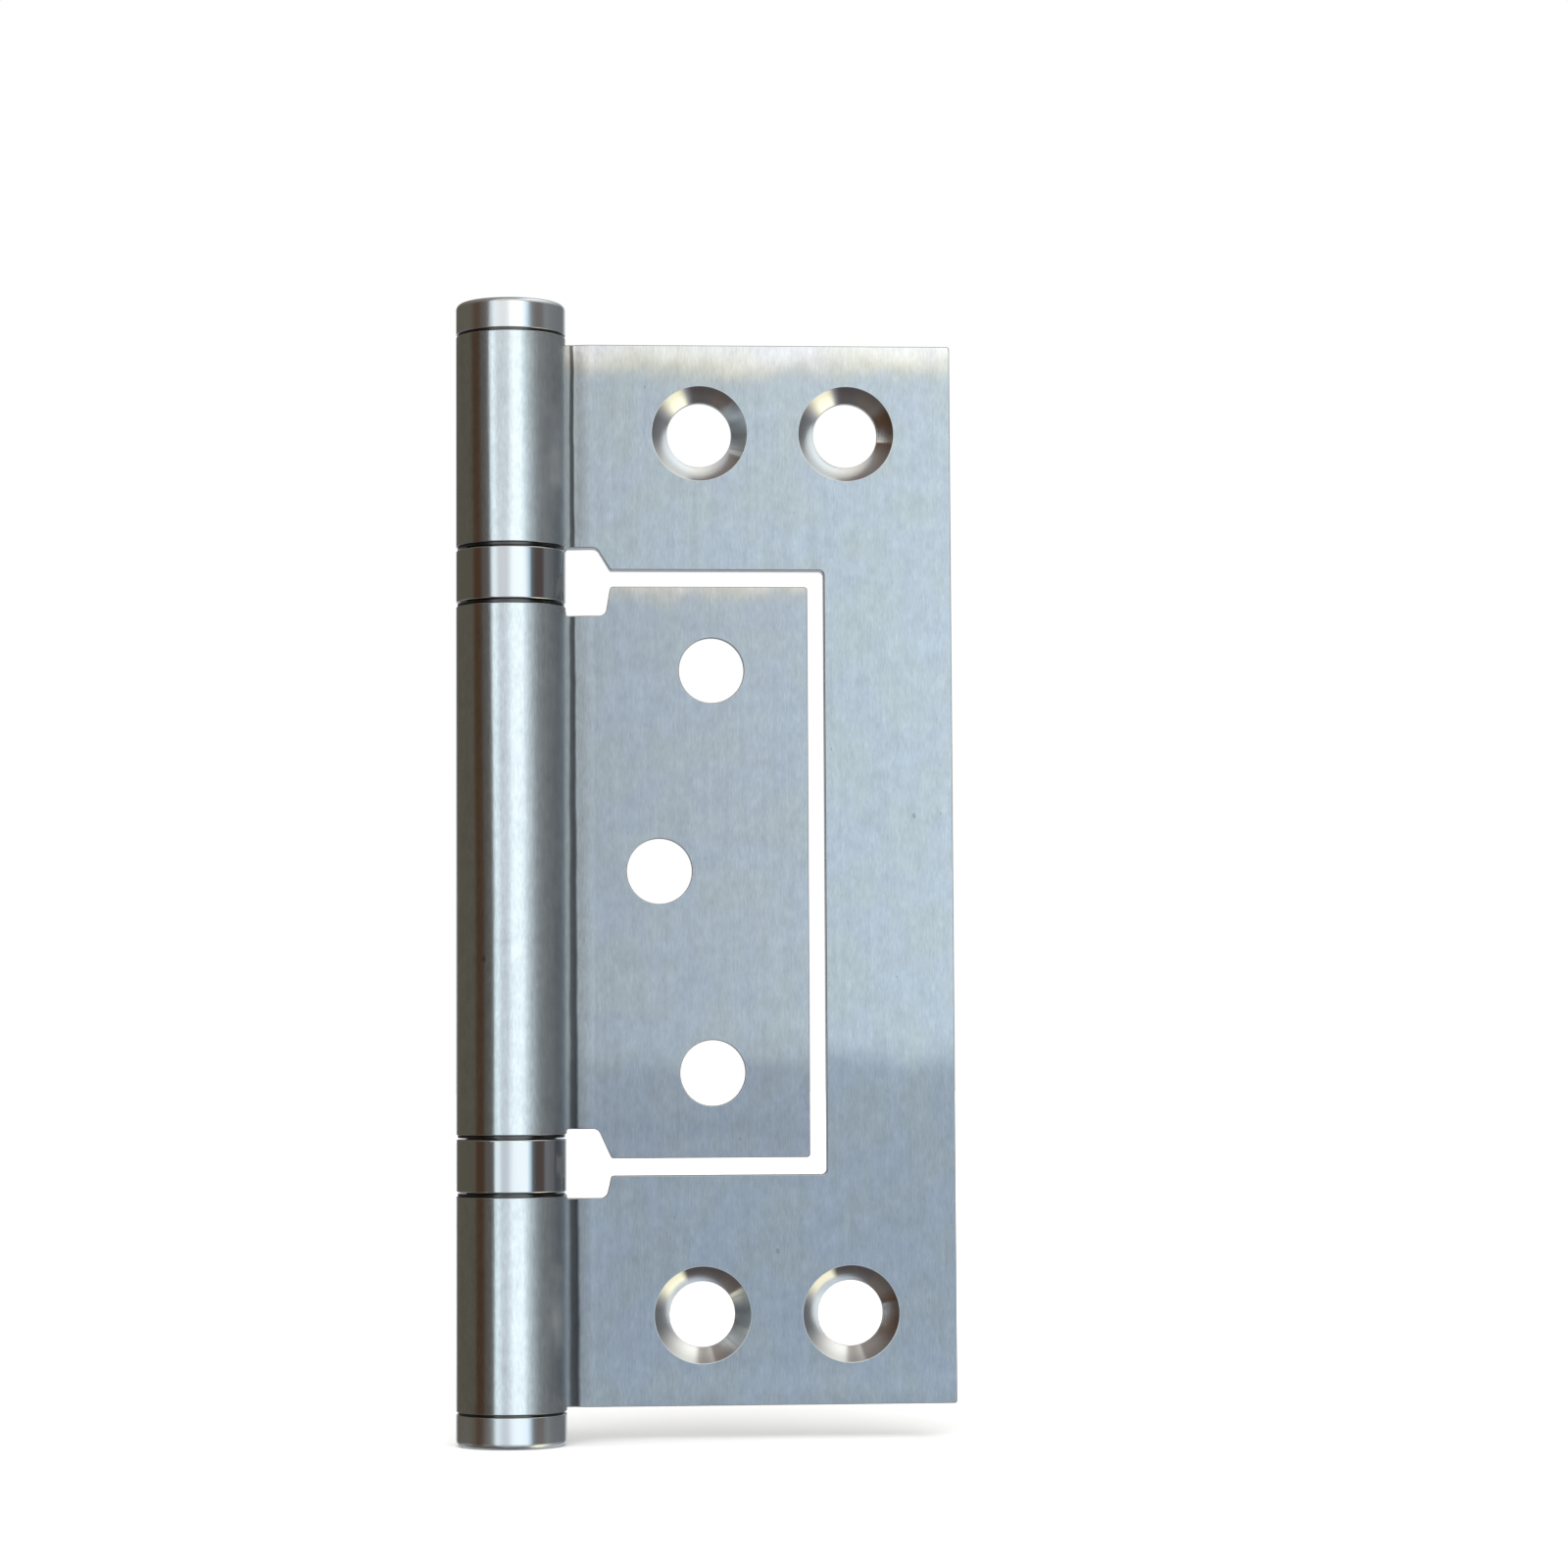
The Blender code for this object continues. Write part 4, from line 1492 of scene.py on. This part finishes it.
@dataclass(frozen=True)
class Studio:
    """Pale floor, soft light and the surroundings that the bare metal reflects.

    Bearings are in degrees from the camera's side, -Y, towards +X. Heights are degrees
    above the horizon.
    """

    strength: float = 1.5
    wall: tuple[Panel, ...] = (
        Panel(-180, -165, (0.46, 0.49, 0.52)),
        Panel(-152, -82, (0.084, 0.076, 0.058)),
        Panel(-76, -60, (0.058, 0.031, 0.017)),
        Panel(-55, -36.8, (0.085, 0.078, 0.072)),
        Panel(-34.0, -25, (0.80, 0.90, 0.94)),
        Panel(-20, -8, (0.58, 0.62, 0.66)),
        Panel(4, 34, (0.94, 1.03, 1.06)),
        Panel(38.5, 41.5, (0.46, 0.62, 0.74)),
        Panel(43.5, 48, (0.090, 0.094, 0.094)),
        Panel(54, 71, (0.068, 0.053, 0.049)),
        Panel(75, 83, (0.138, 0.145, 0.152)),
        Panel(90, 146, (0.115, 0.118, 0.122)),
        Panel(158, 180, (0.46, 0.49, 0.52)),
    )
    below: tuple[Panel, ...] = (
        Panel(-180, -156, (0.36, 0.37, 0.38)),
        Panel(-140, -36, (0.100, 0.085, 0.076)),
        Panel(-18, 52, (0.28, 0.29, 0.31)),
        Panel(62, 90, (1.08, 1.04, 0.78)),
        Panel(104, 180, (0.36, 0.37, 0.38)),
    )
    above: tuple[Panel, ...] = (
        Panel(-180, -156, (0.44, 0.44, 0.44)),
        Panel(-140, -44, (0.20, 0.178, 0.165)),
        Panel(-38, 30, (0.46, 0.45, 0.43)),
        Panel(48, 128, (0.84, 0.84, 0.80)),
        Panel(150, 180, (0.44, 0.44, 0.44)),
    )
    tones: tuple[tuple[float, Colour], ...] = (
        (-24, (0.42, 0.43, 0.46)), (-19, (0.70, 0.715, 0.76)), (-14, (0.76, 0.785, 0.84)),
        (-12.2, (0.67, 0.69, 0.75)), (-8.3, (0.69, 0.71, 0.76)), (-6.0, (0.95, 0.96, 0.97)),
        (0.5, (0.93, 0.94, 0.95)), (3.5, (0.96, 0.96, 0.97)), (7, (1.0, 1.0, 1.0)),
        (11.0, (1.0, 0.99, 0.98)), (12.2, (1.50, 1.22, 0.92)), (13.0, (1.66, 1.32, 0.98)),
        (14.0, (1.85, 1.55, 1.28)), (15.3, (2.25, 1.90, 1.70)), (18, (2.1, 1.8, 1.6)),
        (24, (0.95, 0.92, 0.88)),
    )
    tones_end: Pair = (24.0, 44.0)
    low_glow: Colour = (0.26, 0.26, 0.27)
    low_heights: Pair = (-22.0, -10.0)
    low_start: Pair = (30.0, 55.0)
    low_end: Pair = (140.0, 160.0)
    dark_side: float = -81.0
    dark_reach: Pair = (11.0, 20.0)
    nadir: Colour = (0.078, 0.070, 0.068)
    zenith: Colour = (0.18, 0.148, 0.136)
    below_heights: Pair = (-42.0, -18.0)
    above_heights: Pair = (8.0, 66.0)
    nadir_heights: Pair = (-68.0, -59.0)
    zenith_heights: Pair = (70.0, 82.0)
    lean: float = 1.4
    lean_from: float = 2.0
    lean_over: float = 8.0
    lean_end: Pair = (-30.0, -5.0)
    fall: float = 2.2
    fall_from: float = 5.0
    fall_most: float = 12.0
    fall_start: Pair = (4.0, 14.0)
    fall_end: Pair = (22.0, 50.0)
    light_energy: float = 3.4
    light_angle: float = 100.0
    light_turn: Corner = (28.0, -14.0, 0.0)
    floor_size: float = 8.0
    floor_drop: float = 0.00003
    floor_mottle: Grain = Grain((30.0, 30.0, 30.0))
    floor_tints: tuple[Colour, Colour] = ((0.90, 0.90, 0.90), (0.93, 0.93, 0.93))
    floor_roughness: float = 0.9

    def slid(self, wires: Wiring, bearing: Socket, height: Socket) -> Socket:
        """Bearing of the wall above the horizon, where two of its edges lean.

        Args:
            wires: The world's wiring.
            bearing: The bearing, in degrees.
            height: The height, in degrees.

        Returns:
            The bearing to look the wall up at.
        """
        lean = wires.math("MAXIMUM", wires.math("SUBTRACT", height, self.lean_from), 0.0)
        lean = wires.product(wires.math("MINIMUM", lean, self.lean_over), self.lean)
        lean = wires.product(lean, wires.drop(bearing, self.lean_end))
        fall = wires.math("MAXIMUM", wires.math("SUBTRACT", height, self.fall_from), 0.0)
        fall = wires.math("MINIMUM", wires.product(fall, self.fall), self.fall_most)
        fall = wires.product(fall, wires.rise(bearing, self.fall_start), wires.drop(bearing, self.fall_end))
        return wires.math("ADD", wires.math("ADD", bearing, lean), fall)

    @staticmethod
    def panels_at(wires: Wiring, bearing: Socket, panels: tuple[Panel, ...]) -> Socket:
        """Colour of a row of panels that goes once round.

        Args:
            wires: The world's wiring.
            bearing: The bearing, in degrees.
            panels: The row.

        Returns:
            The colour, which blends from each panel to the next.
        """
        edges = [(degrees, panel.colour) for panel in panels for degrees in (panel.start, panel.end)]
        stops = sorted((degrees / 360 + 0.5, colour) for degrees, colour in edges)
        return wires.ramp(wires.scaled(bearing, 1 / 360, 0.5), stops)

    def low_share(self, wires: Wiring, bearing: Socket, height: Socket) -> Socket:
        """Share of the glow low at both sides, which leaves the dark side out.

        Args:
            wires: The world's wiring.
            bearing: The bearing, in degrees.
            height: The height, in degrees.

        Returns:
            The share, from 0 to 1.
        """
        aside = wires.math("ABSOLUTE", bearing)
        from_dark = wires.math("ABSOLUTE", wires.math("SUBTRACT", bearing, self.dark_side))
        return wires.product(
            wires.drop(height, self.low_heights),
            wires.rise(aside, self.low_start),
            wires.drop(aside, self.low_end),
            wires.rise(from_dark, self.dark_reach),
        )

    def surroundings(self) -> None:
        """Build the world: white behind the object, and the studio round it in reflections."""
        world = bpy.data.worlds.new("studio")
        world.use_nodes = True
        bpy.context.scene.world = world
        wires = Wiring(world.node_tree)
        x, y, z = wires.parts(wires.add("ShaderNodeTexCoord").outputs["Generated"])
        bearing = wires.math("DEGREES", wires.math("ARCTAN2", x, wires.product(y, -1.0)))
        height = wires.math("DEGREES", wires.math("ARCSINE", z))
        wall = self.panels_at(wires, self.slid(wires, bearing, height), self.wall)
        stops = [(degrees / 180 + 0.5, colour) for degrees, colour in self.tones]
        tone = wires.ramp(wires.scaled(height, 1 / 180, 0.5), stops)
        past_tones = wires.rise(wires.math("ABSOLUTE", bearing), self.tones_end)
        seen = wires.blend(past_tones, wires.blend(1.0, wall, tone, "MULTIPLY"), wall)
        seen = wires.blend(self.low_share(wires, bearing, height), seen, self.low_glow)
        for share, colour in (
            (wires.drop(height, self.below_heights), self.panels_at(wires, bearing, self.below)),
            (wires.rise(height, self.above_heights), self.panels_at(wires, bearing, self.above)),
            (wires.drop(height, self.nadir_heights), self.nadir),
            (wires.rise(height, self.zenith_heights), self.zenith),
        ):
            seen = wires.blend(share, seen, colour)
        glow = wires.add("ShaderNodeBackground", {"Color": seen, "Strength": self.strength})
        white = wires.add("ShaderNodeBackground", {"Color": (1.0, 1.0, 1.0, 1.0), "Strength": 1.0})
        direct = wires.add("ShaderNodeLightPath").outputs["Is Camera Ray"]
        mixed = wires.add("ShaderNodeMixShader", {0: direct, 1: glow.outputs[0], 2: white.outputs[0]})
        wires.add("ShaderNodeOutputWorld", {"Surface": mixed.outputs[0]})

    def light(self) -> None:
        """Add one broad soft light over the camera, which the metal doesn't mirror."""
        lamp = bpy.data.lights.new("soft_key", "SUN")
        lamp.energy = self.light_energy
        lamp.angle = math.radians(self.light_angle)
        key = bpy.data.objects.new("soft_key", lamp)
        key.rotation_euler = Euler([math.radians(angle) for angle in self.light_turn])
        key.visible_glossy = False
        bpy.context.scene.collection.objects.link(key)

    def floor(self) -> None:
        """Lay the plain pale floor that the hinge stands on."""
        half = self.floor_size / 2
        corners = [(-half, -half), (half, -half), (half, half), (-half, half)]
        mesh = bpy.data.meshes.new("pale_floor")
        mesh.from_pydata([(x, y, -self.floor_drop) for x, y in corners], [], [(0, 1, 2, 3)])
        material, wires = new_material("pale_floor")
        mottle = wires.grain(wires.place(), self.floor_mottle)
        base = wires.blend(mottle, *self.floor_tints)
        wires.shade({"Base Color": base, "Roughness": self.floor_roughness})
        mesh.materials.append(material)
        floor = linked(mesh, "pale_floor")
        floor.visible_glossy = False

    def build(self) -> None:
        """Set the stage."""
        self.surroundings()
        self.light()
        self.floor()
        bpy.context.scene.view_settings.view_transform = "Standard"
        log.info("studio: pale floor, one soft light, %d panels round it", len(self.wall))


@dataclass(frozen=True)
class PhotographCamera:
    """The photograph's camera, fitted to the leaf's edges, the seams and the screw holes."""

    place: Corner = (-0.0002, -0.4791, 0.0460)
    turn: Corner = (93.776, 0.309, -3.876)
    lens: float = 92.77
    near: float = 0.01

    def build(self) -> None:
        """Add the camera and make it the scene's own."""
        data = bpy.data.cameras.new("photograph")
        data.lens = self.lens
        data.clip_start = self.near
        camera = bpy.data.objects.new("photograph", data)
        camera.location = self.place
        camera.rotation_euler = Euler([math.radians(angle) for angle in self.turn])
        bpy.context.scene.collection.objects.link(camera)
        bpy.context.scene.camera = camera


BARREL_TINT = (0.63, 0.66, 0.67)

LARGE_STEEL = RolledSteel(
    "large_leaf_steel", BARREL_TINT, (0.346, 0.379, 0.396), (0.352, 0.388, 0.434),
    shift=1.0, half_height=SIZES.leaf_height / 2,
)
SMALL_STEEL = RolledSteel(
    "small_leaf_steel", BARREL_TINT, (0.320, 0.346, 0.364), (0.323, 0.353, 0.396),
    shift=41.0, half_height=SIZES.inner_height / 2,
)
TURNED_STEELS = {
    "pin": TurnedSteel("pin_steel", (0.50, 0.51, 0.52), 0.24),
    "cap": TurnedSteel("cap_steel", (0.76, 0.79, 0.81), 0.27, wave=0.00002, stretch=0.7),
    "shell": TurnedSteel("shell_steel", (0.66, 0.67, 0.68), 0.14, ring_depth=0.000002, wave=0.000015),
    # The races' near-black tint is painted shade for the seams between knuckles and shells, where the races
    # show; it also paints the groove under each cap's head.
    "race": TurnedSteel("painted_shade_race_steel", (0.10, 0.10, 0.10), 0.20),
    "ball": TurnedSteel("ball_steel", (0.62, 0.62, 0.63), 0.06, uneven=0.02),
}


def main() -> None:
    """Build the pieces in order, then the stage and the camera."""
    logging.basicConfig(level=logging.INFO, format="%(name)s: %(message)s")
    large, small = LARGE_STEEL.material(), SMALL_STEEL.material()
    edge, sink = ShearedSteel().material(), SunkSteel().material()
    Leaves().build(
        RollingTree(SIZES), {"outer_leaf": (large, edge, sink), "inner_leaf": (small, edge, sink)}
    )
    steels = {kind: steel.material() for kind, steel in TURNED_STEELS.items()}
    pieces = TurnedPieces()
    pieces.build(steels)
    BallRings(pieces).build(SIZES, steels["ball"])
    Studio().build()
    PhotographCamera().build()


if __name__ == "__main__":
    main()
